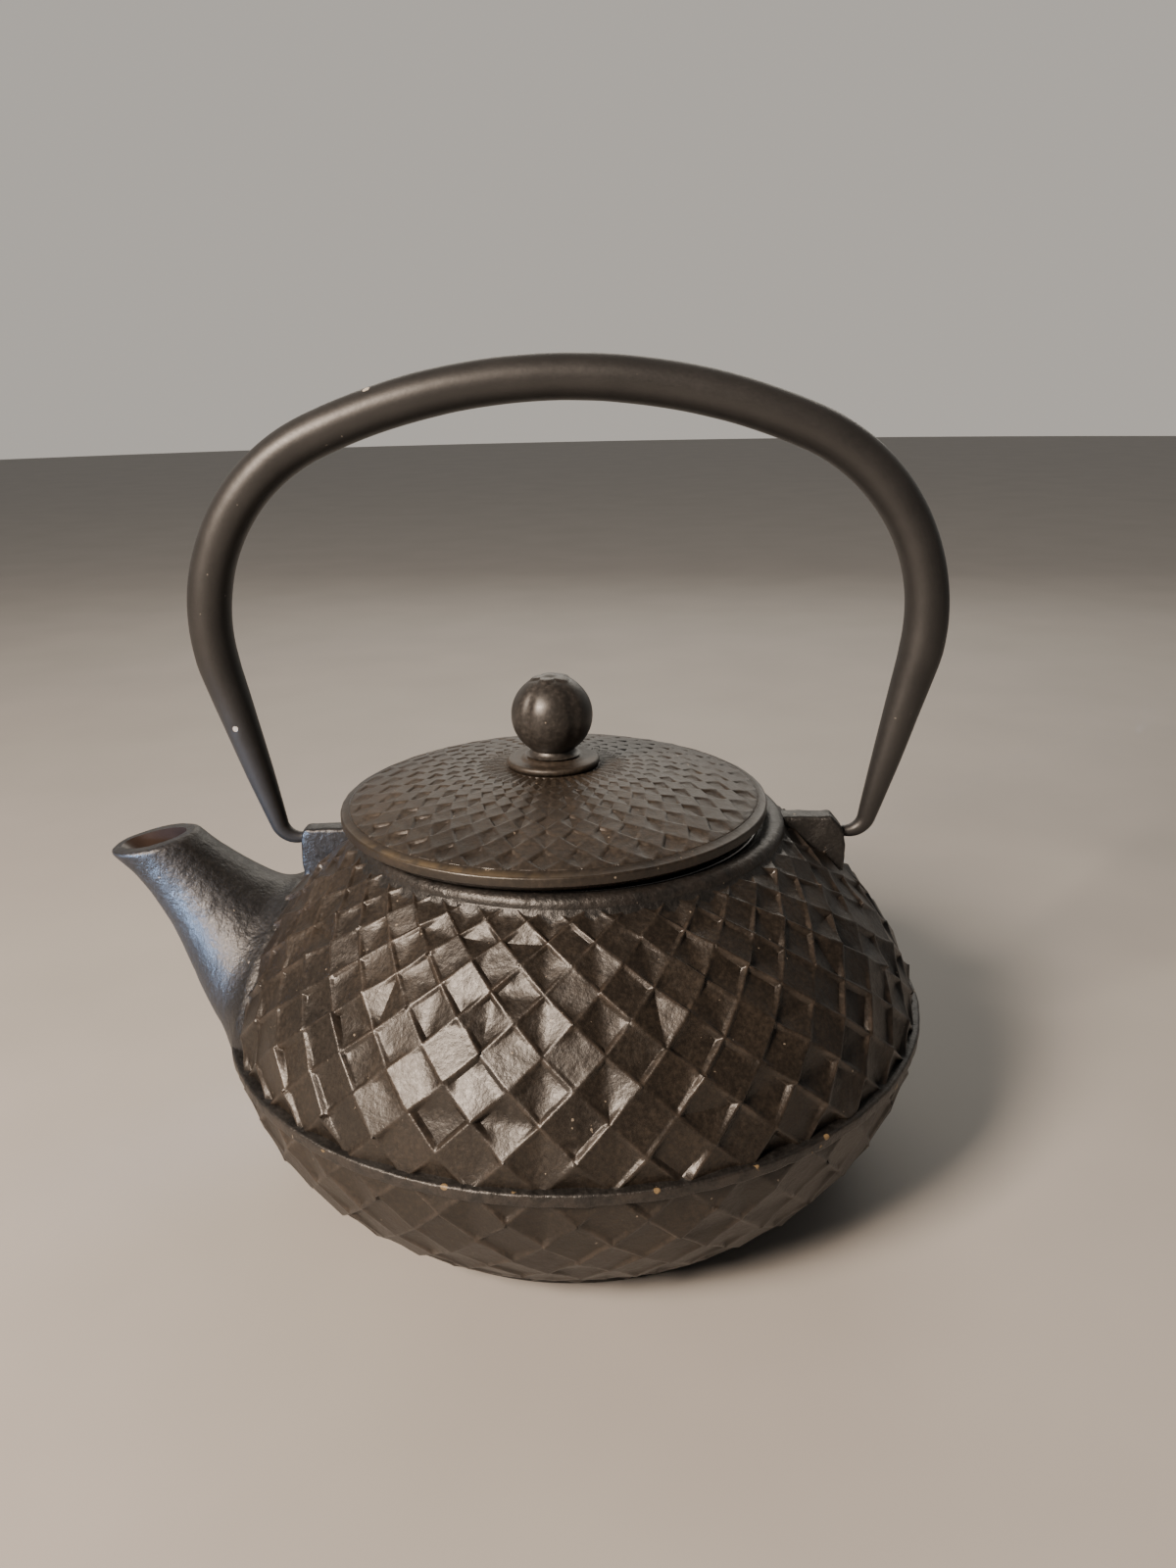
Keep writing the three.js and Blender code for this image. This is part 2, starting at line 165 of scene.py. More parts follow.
# ------------------------------------------------------------------ mesh helpers
def lumps(points, size, seed):
    """Smooth noise from -1 to 1 at points, with features of about the given size."""
    scaled = np.asarray(points, float) / size
    cell = np.floor(scaled).astype(np.int64)
    part = scaled - cell
    part = part * part * (3 - 2 * part)
    total = np.zeros(len(scaled))
    for corner in range(8):
        step = np.array([corner & 1, corner >> 1 & 1, corner >> 2 & 1])
        key = (cell + step) @ np.array([73856093, 19349663, 83492791]) + seed * 2654435
        key = (key ^ (key >> 13)) * 1274126177 & 0x7FFFFFFF
        key = (key ^ (key >> 15)) * 668265263 & 0x7FFFFFFF
        weight = np.prod(np.where(step, part, 1 - part), axis=1)
        total += weight * ((key >> 7 & 0xFFFF) / 32767.5 - 1)
    return total


def make_object(name, points, faces, attributes=None):
    """A mesh object from points in millimetres. attributes maps a name to a value per point."""
    mesh = bpy.data.meshes.new(name)
    mesh.from_pydata((np.asarray(points, float) * MM).tolist(), [], faces)
    for key, values in (attributes or {}).items():
        set_values(mesh, key, values)
    mesh.update()
    thing = bpy.data.objects.new(name, mesh)
    bpy.context.scene.collection.objects.link(thing)
    return thing


def read(items, name, width=1, kind=float):
    """One property of every item in a mesh collection, as an array."""
    values = np.empty(len(items) * width, kind)
    items.foreach_get(name, values)
    return values.reshape(-1, width) if width > 1 else values


def vertex_places(mesh):
    """The vertices of a mesh, in millimetres."""
    return read(mesh.vertices, "co", 3) / MM


def set_values(mesh, name, values):
    """Stores one number per vertex under a name."""
    layer = mesh.attributes.get(name) or mesh.attributes.new(name, "FLOAT", "POINT")
    layer.data.foreach_set("value", np.asarray(values, np.float32))


def add_wear(mesh, values):
    """Raises the wear of a mesh to at least these values."""
    set_values(mesh, "wear", np.maximum(read(mesh.attributes["wear"].data, "value"), values))


def turn_outwards(thing):
    """Points every face of a closed mesh outwards."""
    work = bmesh.new()
    work.from_mesh(thing.data)
    bmesh.ops.recalc_face_normals(work, faces=work.faces)
    work.to_mesh(thing.data)
    work.free()
    return thing


def loft(name, rings, closed=False):
    """A closed mesh through rings of points. closed joins the last ring to the first."""
    rings = np.asarray(rings, float)
    count, around = rings.shape[:2]
    points = rings.reshape(-1, 3)
    faces = []
    for k in range(count if closed else count - 1):
        low, high = k * around, (k + 1) % count * around
        for i in range(around):
            j = (i + 1) % around
            faces.append((low + i, low + j, high + j, high + i))
    if not closed:
        points = np.vstack([points, rings[0].mean(0), rings[-1].mean(0)])
        last = (count - 1) * around
        for i in range(around):
            j = (i + 1) % around
            faces.append((len(points) - 2, j, i))
            faces.append((len(points) - 1, last + i, last + j))
    return turn_outwards(make_object(name, points, faces))


def lathe(name, profile, around=144, centre_x=0.0):
    """Revolves (radius, z) points about a vertical axis. They close a ring, or run from axis to axis."""
    profile = np.asarray(profile, float)
    turn = np.linspace(0, 2 * np.pi, around, endpoint=False)
    on_axis = profile[0][0] == 0
    if on_axis:
        inner = profile[1:-1]
        ends = [(centre_x, 0, profile[0][1]), (centre_x, 0, profile[-1][1])]
    else:
        inner = profile
    rings = np.empty((len(inner), around, 3))
    rings[:, :, 0] = inner[:, :1] * np.cos(turn) + centre_x
    rings[:, :, 1] = inner[:, :1] * np.sin(turn)
    rings[:, :, 2] = inner[:, 1:]
    if not on_axis:
        return loft(name, rings, closed=True)
    thing = loft(name, rings)
    thing.data.vertices[-2].co = Vector(ends[0]) * MM
    thing.data.vertices[-1].co = Vector(ends[1]) * MM
    return thing


def arc(centre, radius, start, end, steps=6):
    """Points on a circle in a profile, from one angle in degrees to another."""
    turn = np.radians(np.linspace(start, end, steps + 1))
    return [(centre[0] + radius * np.cos(a), centre[1] + radius * np.sin(a)) for a in turn]


def displace(thing, offset):
    """Moves every vertex along its normal by offset(points in millimetres), in millimetres."""
    mesh = thing.data
    points = read(mesh.vertices, "co", 3)
    points += read(mesh.vertices, "normal", 3) * (offset(points / MM) * MM)[:, None]
    mesh.vertices.foreach_set("co", points.ravel())
    mesh.update()
    return thing


def combine(base, steps):
    """Applies boolean steps, (operation, object) pairs, to base and removes the tools."""
    for operation, tool in steps:
        change = base.modifiers.new(tool.name, "BOOLEAN")
        change.operation = operation
        change.solver = "MANIFOLD"
        change.material_mode = "TRANSFER"
        change.object = tool
    bpy.context.view_layer.update()
    shaped = base.evaluated_get(bpy.context.evaluated_depsgraph_get())
    mesh = bpy.data.meshes.new_from_object(shaped)
    base.modifiers.clear()
    base.data = mesh
    for _, tool in steps:
        bpy.data.objects.remove(tool)
    return base


def crisp(thing, limits, facet_limit=None):
    """Shades smooth, with a sharp edge wherever faces meet at more than their material's limit.

    facet_limit takes over on relief facets: first-material edges away from the worn rims.
    """
    mesh = thing.data
    mesh.shade_smooth()
    loops = read(mesh.loops, "edge_index", kind=int)
    totals = read(mesh.polygons, "loop_total", kind=int)
    face = np.repeat(np.arange(len(totals)), totals)
    normals = read(mesh.polygons, "normal", 3)
    slots = read(mesh.polygons, "material_index", kind=int)
    order = np.argsort(loops, kind="stable")
    pair = loops[order[:-1]] == loops[order[1:]]
    first, second = face[order[:-1][pair]], face[order[1:][pair]]
    edge = loops[order[:-1][pair]]
    limit = np.radians(np.array(limits)[slots])
    bend = np.arccos(np.clip((normals[first] * normals[second]).sum(1), -1, 1))
    allowed = np.maximum(limit[first], limit[second])
    if facet_limit:
        wear = read(mesh.attributes["wear"].data, "value")
        flat = (wear[read(mesh.edges, "vertices", 2, int)] < 0.02).all(1)[edge]
        flat = flat & (slots[first] == 0) & (slots[second] == 0)
        allowed = np.where(flat, math.radians(facet_limit), allowed)
    sharp = np.zeros(len(mesh.edges), bool)
    sharp[edge] = bend > allowed
    layer = mesh.attributes.get("sharp_edge") or mesh.attributes.new("sharp_edge", "BOOLEAN", "EDGE")
    layer.data.foreach_set("value", sharp)
    mesh.update()
    return thing


def paint(thing, *materials):
    """Gives a whole mesh its materials, all faces on the first unless they are set already."""
    thing.data.materials.clear()
    for material in materials:
        thing.data.materials.append(material)
    return thing


def turned(name, profile, around, material, centre_x=0.0):
    """A turned piece in one material, with its corners kept sharp."""
    return crisp(paint(lathe(name, profile, around, centre_x), material), [35])


def finish_piece(thing, body, slot, *nodes):
    """Hands a piece to the frame: its body and the CAD nodes it stands for. The slot is not used."""
    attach(thing, body)
    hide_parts(*nodes)
    return thing


# ------------------------------------------------------------------ materials
class Nodes:
    """Builds one node material. Inputs are given by name, as values or as sockets to link."""

    def __init__(self, name):
        self.material = bpy.data.materials.new(name)
        self.material.use_nodes = True
        self.tree = self.material.node_tree
        self.tree.nodes.clear()
        self.place = self.add("TexCoord").outputs["Object"]

    def add(self, kind, settings=None, **inputs):
        """A node with its inputs set or linked. i0, i1 and so on are inputs by number."""
        node = self.tree.nodes.new("ShaderNode" + kind)
        for key, value in (settings or {}).items():
            setattr(node, key, value)
        for key, value in inputs.items():
            name = key.replace("_", " ")
            socket = node.inputs[int(key[1:])] if key[0] == "i" and key[1:].isdigit() else node.inputs[name]
            if isinstance(value, bpy.types.NodeSocket):
                self.tree.links.new(value, socket)
            else:
                socket.default_value = value
        return node

    def noise(self, size, detail=2.0, rough=0.5, at=None):
        """Noise from 0 to 1 with features of about size millimetres."""
        node = self.add("TexNoise", Vector=at or self.place, Scale=1 / (size * MM), Detail=detail,
                        Roughness=rough)
        return node.outputs["Fac"]

    def math(self, operation, first, second=0.0, clamp=False):
        settings = {"operation": operation, "use_clamp": clamp}
        return self.add("Math", settings, i0=first, i1=second).outputs[0]

    def weigh(self, first, share, second, other_share):
        """first * share + second * other_share."""
        first, second = self.math("MULTIPLY", first, share), self.math("MULTIPLY", second, other_share)
        return self.math("ADD", first, second)

    def steps(self, value, low, high, out_low=0.0, out_high=1.0):
        """Maps a value from low..high to out_low..out_high, smoothly and clamped."""
        node = self.add("MapRange", {"interpolation_type": "SMOOTHSTEP"}, Value=value, From_Min=low,
                        From_Max=high, To_Min=out_low, To_Max=out_high)
        return node.outputs["Result"]

    def colours(self, value, *stops):
        """A colour ramp of (position, (r, g, b)) stops."""
        node = self.add("ValToRGB", Fac=value)
        ramp = node.color_ramp
        while len(ramp.elements) < len(stops):
            ramp.elements.new(0.5)
        for element, (position, colour) in zip(ramp.elements, stops):
            element.position = position
            element.color = (*colour, 1)
        return node.outputs["Color"]

    def mix(self, share, first, second):
        settings = {"data_type": "RGBA"}
        node = self.add("Mix", settings, i0=share, i6=as_colour(first), i7=as_colour(second))
        return node.outputs[2]

    def attribute(self, name):
        return self.add("Attribute", {"attribute_name": name}).outputs["Fac"]

    def bump(self, height, depth, onto=None):
        """A bump of depth millimetres where height is 1."""
        node = self.add("Bump", Height=height, Distance=depth * MM, Strength=1.0)
        if onto:
            self.tree.links.new(onto, node.inputs["Normal"])
        return node.outputs["Normal"]

    def near(self, point, radius):
        """1 within radius millimetres of a point, falling to 0 just outside it."""
        target = self.add("CombineXYZ", X=point[0] * MM, Y=point[1] * MM, Z=point[2] * MM)
        gap = self.add("VectorMath", {"operation": "DISTANCE"}, i0=self.place, i1=target.outputs[0])
        edge = self.math("MULTIPLY", self.noise(0.8), 0.7 * radius * MM)
        ragged = self.math("ADD", gap.outputs["Value"], edge)
        return self.steps(ragged, radius * 1.45 * MM, radius * 1.2 * MM)

    def surface(self, **inputs):
        shader = self.add("BsdfPrincipled", **inputs)
        output = self.add("OutputMaterial")
        self.tree.links.new(shader.outputs[0], output.inputs["Surface"])
        return self.material


def as_colour(value):
    """A socket as it is, or (r, g, b) with its alpha."""
    return value if isinstance(value, bpy.types.NodeSocket) else (*value, 1)


def cast_iron(name, tone=1.0, warmth=1.0, grain=0.06, rust=False, painted_rim_glint=False, gloss=0.4):
    """Dark lacquered iron, brown where warmth is 1. Wear lightens and smooths the ridges."""
    shades = [tuple(tone * (level + warmth * shift) for shift in (0.34 * level, 0.0, -0.30 * level))
              for level in (0.0038, 0.0092, 0.0215)]
    g = Nodes(name)
    broad = g.noise(24, 3, 0.6)
    fine = g.noise(0.9, 4, 0.65)
    pits = g.noise(2.6, 3, 0.6)
    colour = g.colours(g.weigh(broad, 0.45, fine, 0.55), *zip((0.32, 0.5, 0.68), shades))
    wear = g.math("MULTIPLY", g.attribute("wear"), g.steps(g.noise(3.5, 3, 0.6), 0.36, 0.62), True)
    colour = g.mix(g.math("MULTIPLY", wear, 0.24), colour, (0.110, 0.086, 0.070))
    # Light specks: partly light flecks in the iron, partly painted glints.
    fleck_and_glint = g.steps(g.noise(1.1, 1, 0.4), 0.785, 0.81)
    colour = g.mix(g.math("MULTIPLY", fleck_and_glint, 0.5), colour, (0.33, 0.28, 0.22))
    if rust:
        spot = g.math("MULTIPLY", g.attribute("seam"), g.steps(g.noise(2.6, 2, 0.5), 0.70, 0.73))
        for place in RUST_SPOTS:
            spot = g.math("MAXIMUM", spot, g.near(place, 0.64))
        colour = g.mix(g.math("MULTIPLY", spot, 0.85), colour, (0.20, 0.14, 0.07))
    # A painted golden highlight on the lid's rim, where the key light glints.
    if painted_rim_glint:
        colour = g.mix(g.math("MULTIPLY", g.attribute("painted_rim_glint"), g.steps(g.noise(4, 3, 0.6), 0.3, 0.6)),
                       colour, (0.14, 0.098, 0.045))
    rough = g.math("ADD", g.weigh(fine, 0.30, broad, 0.14), gloss - 0.22)
    rough = g.math("SUBTRACT", rough, g.math("MULTIPLY", wear, 0.06))
    normal = g.bump(fine, grain, g.bump(pits, grain * 2.6))
    return g.surface(Base_Color=colour, Roughness=rough, IOR=1.55, Normal=normal)


def enamel():
    """The dark enamel inside the pot, a little orange-peeled, with a tea-brown cast."""
    g = Nodes("inside_enamel")
    broad = g.noise(18, 3, 0.55)
    colour = g.colours(broad, (0.35, (0.022, 0.015, 0.012)), (0.65, (0.05, 0.032, 0.025)))
    rough = g.math("ADD", g.math("MULTIPLY", broad, 0.15), 0.28)
    normal = g.bump(g.noise(2.2, 2, 0.5), 0.04)
    return g.surface(Base_Color=colour, Roughness=rough, Normal=normal)


def handle_paint():
    """Satin charcoal paint with two small chips."""
    g = Nodes("handle_satin_paint")
    broad = g.noise(16, 3, 0.6)
    fine = g.noise(0.6, 3, 0.6)
    colour = g.colours(g.weigh(broad, 0.7, fine, 0.3), (0.3, (0.0120, 0.0120, 0.0122)),
                       (0.7, (0.0220, 0.0215, 0.0215)))
    chip = g.math("MAXIMUM", g.near(CHIPS[0], 0.75), g.near(CHIPS[1], 0.6))
    scuff = g.math("MULTIPLY", g.steps(g.noise(1.3, 1, 0.3), 0.80, 0.82), 0.3)
    colour = g.mix(g.math("MAXIMUM", chip, scuff), colour, (0.40, 0.37, 0.33))
    rough = g.math("ADD", g.math("MULTIPLY", fine, 0.16), 0.36)
    normal = g.bump(fine, 0.018, g.bump(g.noise(7, 2, 0.5), 0.10, g.bump(chip, -0.12)))
    return g.surface(Base_Color=colour, Roughness=rough, IOR=1.5, Normal=normal)


def steel(name, colour, size, rough):
    """Bare metal with fine drawing marks."""
    g = Nodes(name)
    stretched = g.add("Mapping", Vector=g.place, Scale=(1, 1, 7)).outputs[0]
    marks = g.noise(size, 4, 0.6, at=stretched)
    dull = g.noise(9, 3, 0.6)
    shade = [tuple(c * k for c in colour) for k in (0.78, 1.0)]
    metal = g.colours(g.weigh(marks, 0.5, dull, 0.5), (0.3, shade[0]), (0.7, shade[1]))
    roughness = g.math("ADD", g.math("MULTIPLY", marks, 0.18), rough)
    return g.surface(Base_Color=metal, Metallic=1.0, Roughness=roughness, Normal=g.bump(marks, 0.012))


def pale_floor():
    """The plain pale floor, faintly uneven in tone."""
    g = Nodes("pale_floor")
    colour = g.colours(g.noise(60, 3, 0.5), (0.3, (0.37, 0.357, 0.34)), (0.7, (0.40, 0.386, 0.368)))
    return g.surface(Base_Color=colour, Roughness=0.6)


# ------------------------------------------------------------------ the diamond lattice
def diamond_lattice(rows, columns, corners, folds, level, surface, border):
    """One sheet of diamonds, each a folded or tilted facet, with a worn step up to a higher neighbour.

    rows: the centre row of each band of diamonds. corners[row] holds the facet heights at top,
    right, bottom and left, one row of four per column, and folds[row] is True where the fold is
    upright. level(row, column) is the least height of the edges at a lattice point. surface(u, v)
    gives points and normals at column u and row v. border is the profile of the step: share of
    the side, and how far up the step.
    """
    edge = [place for place, _ in border]
    share = np.array(edge + [0.37, 0.63] + [1 - place for place in edge[::-1]])
    n = len(share) - 1
    ia, ib = np.meshgrid(np.arange(n + 1), np.arange(n + 1), indexing="ij")
    a, b = share[ia], share[ib]
    inset = np.minimum(np.minimum(a, 1 - a), np.minimum(b, 1 - b))
    climb = np.interp(inset, edge, [height for _, height in border])
    keys, spots, facets, levels, triangles = [], [], [], [], []
    for row in rows:
        for column in range(columns):
            middle = column if row % 2 else column + 0.5
            top, right, bottom, left = corners[row][column]
            if folds[row][column]:
                facet = np.where(a >= b, bottom * (1 - a) + right * (a - b) + top * b,
                                 bottom * (1 - b) + left * (b - a) + top * a)
            else:
                facet = np.where(a + b <= 1, bottom * (1 - a - b) + right * a + left * b,
                                 top * (a + b - 1) + right * (1 - b) + left * (1 - a))
            first_a = round(middle + (row - 1) / 2)
            first_b = row - 1 - first_a
            wide = (first_a * n + ia, first_b * n + ib)
            base = len(keys) * (n + 1) ** 2
            keys.append((wide[0] + wide[1]) * 100000 + (wide[0] - wide[1]) % (2 * columns * n))
            spots.append(np.stack([np.full(a.shape, middle), np.full(a.shape, row - 1.0), a, b], -1))
            facets.append(facet)
            levels.append(level(row - 1, middle) * (1 - a) * (1 - b) + level(row, middle + 0.5) * a * (1 - b)
                          + level(row + 1, middle) * a * b + level(row, middle - 0.5) * (1 - a) * b)
            for i in range(n):
                for j in range(n):
                    corner = [base + (i + p) * (n + 1) + j + q for p, q in ((0, 0), (1, 0), (1, 1), (0, 1))]
                    if folds[row][column]:
                        triangles += [(corner[0], corner[1], corner[2]), (corner[0], corner[2], corner[3])]
                    else:
                        triangles += [(corner[0], corner[1], corner[3]), (corner[1], corner[2], corner[3])]
    keys, spots, facets = np.array(keys), np.array(spots), np.array(facets)
    _, kept, merged = np.unique(keys.ravel(), return_index=True, return_inverse=True)
    merged = merged.ravel()
    high, low = np.full(len(kept), -9.0), np.full(len(kept), 9.0)
    np.maximum.at(high, merged, np.maximum(facets, levels).ravel())
    np.minimum.at(low, merged, facets.ravel())
    # The border point nearest to each point of a diamond.
    beside = np.minimum(a, 1 - a) <= np.minimum(b, 1 - b)
    border_a = np.where(beside, np.where(a < 0.5, 0, n), ia)
    border_b = np.where(beside, ib, np.where(b < 0.5, 0, n))
    at_border = merged.reshape(facets.shape)[:, border_a, border_b]
    heights = climb * high[at_border] + (1 - climb) * facets
    worn = climb * np.clip((high[at_border] - facets) / 0.3, 0, 1)
    on_border = inset == 0
    worn[:, on_border] = np.clip((high - low)[at_border[:, on_border]] / 0.3, 0, 1)
    middle, below, a, b = spots.reshape(-1, 4)[kept].T
    # A straight-sided patch between the diamond's four corners keeps the facets flat.
    patch = [(middle, below, (1 - a) * (1 - b)), (middle + 0.5, below + 1, a * (1 - b)),
             (middle, below + 2, a * b), (middle - 0.5, below + 1, (1 - a) * b)]
    points, normals = 0, 0
    for u, v, weight in patch:
        at, facing = surface(u, v)
        points = points + at * weight[:, None]
        normals = normals + facing * weight[:, None]
    normals /= np.linalg.norm(normals, axis=1)[:, None]
    return (points, normals, heights.ravel()[kept], worn.ravel()[kept], below + a + b,
            merged[np.array(triangles)])


def open_edges(triangles):
    """The directed edges that only one triangle uses."""
    edges = np.concatenate([triangles[:, [0, 1]], triangles[:, [1, 2]], triangles[:, [2, 0]]])
    ordered = np.sort(edges, axis=1)
    _, first, count = np.unique(ordered, axis=0, return_index=True, return_counts=True)
    return edges[first[count == 1]]


def random_relief(rows, draw, chosen):
    """Facet heights, from -0.8 to 0.42, and folds for bands of diamonds."""
    corners, folds = {}, {}
    for row in rows:
        upright = row % 2 == 1
        corners[row], folds[row] = [], []
        for column in range(COLUMNS):
            middle = column if upright else column + 0.5
            if draw.random_sample() < 0.55:
                low = draw.uniform(-0.62, -0.40, 2)
                high = draw.uniform(-0.30, 0.42, 2)
                four = (low[0], high[0], low[1], high[1]) if upright else (high[0], low[0], high[1], low[1])
            else:
                turn, steep = draw.uniform(0, 2 * math.pi), draw.uniform(0.2, 0.5)
                level = draw.uniform(-0.32, -0.05)
                rise, lean = steep * math.sin(turn), steep * math.cos(turn)
                four = (level + rise, level + lean, level - rise, level - lean)
            wrapped = middle - COLUMNS if middle > COLUMNS / 2 else middle
            four = chosen.get((wrapped, row), four)
            corners[row].append(tuple(float(np.clip(h, -0.8, 0.42)) for h in four))
            folds[row].append(upright)
    levels = {(row, column): draw.uniform(-0.22, 0.06)
              for row in range(min(rows) - 1, max(rows) + 2) for column in range(COLUMNS)}
    return corners, folds, lambda row, middle: levels[row, math.floor(middle) % COLUMNS]


# ------------------------------------------------------------------ body
def wall_radius(z):
    """Mean outside radius of the body at a height."""
    z = np.asarray(z, float)
    up, down = np.clip(z - SEAM_Z, 0, None), np.clip(SEAM_Z - z, 0, None)
    result = np.full(z.shape, float(BELLY_R))
    for distance, (height, power) in ((up, UPPER), (down, LOWER)):
        sine = np.clip(distance / height, 0, 1) ** (power / 2)
        result = result * np.sqrt(1 - sine**2) ** (2 / power)
    return result


class WallLine:
    """The body's outline, by distance along it from the seam, with flat ends running inwards."""

    def __init__(self):
        top_z, low_z = 75.05, 0.9
        z = np.linspace(low_z, top_z, 1500)
        r = wall_radius(z)
        self.r = np.concatenate([[r[0] - 9], r, [r[-1] - 7]])
        self.z = np.concatenate([[low_z], z, [top_z]])
        length = np.concatenate([[0], np.cumsum(np.hypot(np.diff(self.r), np.diff(self.z)))])
        self.s = length - np.interp(SEAM_Z, z, length[1:-1])
        self.low_end, self.high_end = self.s[1], self.s[-2]
        out, up = np.gradient(self.z, self.s), -np.gradient(self.r, self.s)
        self.out = np.convolve(out, np.ones(31) / 31, "same")
        self.up = np.convolve(up, np.ones(31) / 31, "same")

    def at(self, s, phi):
        """Points and outward directions at distances s and angles phi."""
        r, z = np.interp(s, self.s, self.r), np.interp(s, self.s, self.z)
        out, up = np.interp(s, self.s, self.out), np.interp(s, self.s, self.up)
        size = np.hypot(out, up)
        out, up = out / size, up / size
        points = np.stack([r * np.cos(phi), r * np.sin(phi), z], -1)
        return points, np.stack([out * np.cos(phi), out * np.sin(phi), up], -1)


# Facet heights (top, right, bottom, left) judged from the photograph, for neighbouring
# diamonds in each row. A row starts with the column of its first one.
SEEN_ROWS = {
    8: (-2.5, [(0.2, -0.5, 0.1, -0.5), (0.0, -0.55, 0.2, -0.55), (0.35, -0.5, 0.2, -0.5),
        (-0.4, -0.45, 0.2, 0.1), (-0.1, -0.2, 0.1, -0.1)]),
    7: (-3, [(-0.45, 0.2, -0.4, -0.1), (0, 0, -0.3, -0.3), (0.1, 0, -0.3, -0.2),
        (-0.45, 0.1, -0.5, 0.1), (-0.1, 0.35, -0.4, 0.1), (-0.5, 0, -0.4, 0.2)]),
    6: (-3.5, [(0, -0.2, -0.2, -0.3), (-0.35, -0.4, 0, -0.3), (0.42, 0.1, -0.65, -0.3),
        (-0.1, -0.5, 0.1, -0.5), (0, 0, -0.3, -0.3), (-0.3, -0.4, 0.2, 0.3), (0.1, 0.2, -0.3, -0.3)]),
    5: (-4, [(-0.3, 0.1, -0.3, -0.35), (-0.5, 0.2, -0.5, 0.42), (-0.3, 0.3, -0.5, -0.2),
        (-0.5, 0.1, -0.5, 0.3), (-0.45, 0.42, -0.5, -0.1), (-0.5, -0.1, -0.5, 0.2),
        (-0.45, 0.4, -0.45, 0.3), (-0.4, -0.1, -0.4, 0.1)]),
    4: (-2.5, [(-0.1, 0.1, -0.4, -0.3), (-0.05, 0.25, 0.35, 0.05), (-0.35, -0.1, 0.15, -0.1),
        (0, 0.1, -0.1, -0.2), (0, -0.3, -0.3, 0)]),
    3: (-3, [(-0.35, 0.1, -0.3, -0.35), (-0.1, -0.1, 0.3, 0.2), (-0.3, -0.2, 0.35, -0.1),
        (-0.5, -0.1, -0.3, 0.2), (-0.4, 0.4, -0.4, 0.1), (0.1, -0.4, -0.4, 0.2)]),
    2: (-3.5, [(0.1, 0, -0.45, -0.4), (-0.35, 0.1, 0.4, 0.1), (0.2, -0.3, -0.35, -0.35),
        (0, -0.45, 0.42, -0.45), (0.1, -0.3, -0.4, 0.1), (0.1, -0.2, -0.2, 0.1)]),
    1: (-4, [(0, 0.1, -0.3, -0.4), (0, 0, -0.2, -0.2), (0.2, 0.1, -0.2, -0.1), (0.2, -0.1, -0.2, 0.1),
        (-0.3, 0.1, -0.3, 0.1), (0.1, -0.4, -0.4, 0.2)]),
}
SEEN = {(first + i, row): four
        for row, (first, facets) in SEEN_ROWS.items() for i, four in enumerate(facets)}


def relief_wall():
    """The patterned outside of the body as a closed solid."""
    line = WallLine()
    rows_v = [-9, -8] + list(range(-7, 0)) + list(range(10)) + [10, 11]
    rows_s = ([line.low_end - 3.5, line.low_end - 0.3] + [-d for d in ROW_DOWN[:0:-1]] + ROW_UP
              + [line.high_end + 0.4, line.high_end + 3.6])

    def surface(u, v):
        s = np.interp(v, rows_v, rows_s)
        return line.at(s, np.radians(FIRST_COLUMN + u * 360 / COLUMNS))

    rows = range(-8, 11)
    corners, folds, level = random_relief(rows, np.random.RandomState(11), SEEN)
    points, normals, heights, rims, row_at, triangles = diamond_lattice(rows, COLUMNS, corners, folds, level,
                                                                        surface, BODY_STEP)
    s = np.interp(row_at, rows_v, rows_s)
    fade = np.clip((line.high_end - s) / 1.0, 0, 1) * np.clip((s - line.low_end - 0.4) / 3.0, 0, 1)
    depth = RELIEF_DEPTH * np.hypot(points[:, 0], points[:, 1]) / BELLY_R * np.where(row_at < 0, 0.6, 1)
    heights = (heights * depth - 0.15) * fade - 0.25 * (1 - fade)
    near_seam = np.clip(1 - np.abs(points[:, 2] - SEAM_Z) / 3, 0, 1)
    heights = np.minimum(heights, 0.8 - 0.8 * near_seam)
    heights = heights + fade * (0.05 * lumps(points, 3.1, 1) + 0.035 * lumps(points, 1.3, 2))
    points = points + normals * heights[:, None]
    wear = rims * fade
    # Closed by fans to two points on the axis.
    rim_edges = open_edges(triangles)
    high = row_at[rim_edges[:, 0]] > 0
    fans = []
    for side, apex_z in ((high, 62.0), (~high, 12.0)):
        apex = len(points)
        points = np.vstack([points, [0, 0, apex_z]])
        wear = np.append(wear, 0)
        edges = rim_edges[side]
        fans.append(np.stack([edges[:, 1], edges[:, 0], np.full(len(edges), apex)], -1))
    faces = np.vstack([triangles, *fans]).tolist()
    return make_object("teapot_body", points, faces, {"wear": wear})


def bezier(corners, share):
    """Points on a cubic curve, at shares of it from 0 to 1."""
    t = np.asarray(share, float)[:, None]
    p = np.array(corners, float)
    return (1 - t) ** 3 * p[0] + 3 * (1 - t) ** 2 * t * p[1] + 3 * (1 - t) * t**2 * p[2] + t**3 * p[3]


def spout_rings(width, shares, insets, around):
    """Oval sections between the two side curves."""
    root, tip, power, egg = width
    low, high = bezier(SPOUT_LOWER, shares), bezier(SPOUT_UPPER, shares)
    middle, half = (low + high) / 2, (high - low) / 2
    length = np.linalg.norm(half, axis=1)
    half = half * ((length - insets) / length)[:, None]
    left = np.clip(1 - shares, 0, None) ** power
    half_width = tip + (root - tip) * left
    turn = np.linspace(0, 2 * np.pi, around, endpoint=False)
    x = middle[:, :1] + half[:, :1] * np.cos(turn)
    z = middle[:, 1:] + half[:, 1:] * np.cos(turn)
    half_width = (half_width - (insets if egg else 0))[:, None]
    y = half_width * (1 - egg * left[:, None] * np.cos(turn)) * np.sin(turn)
    return np.stack([x, y, z], -1)


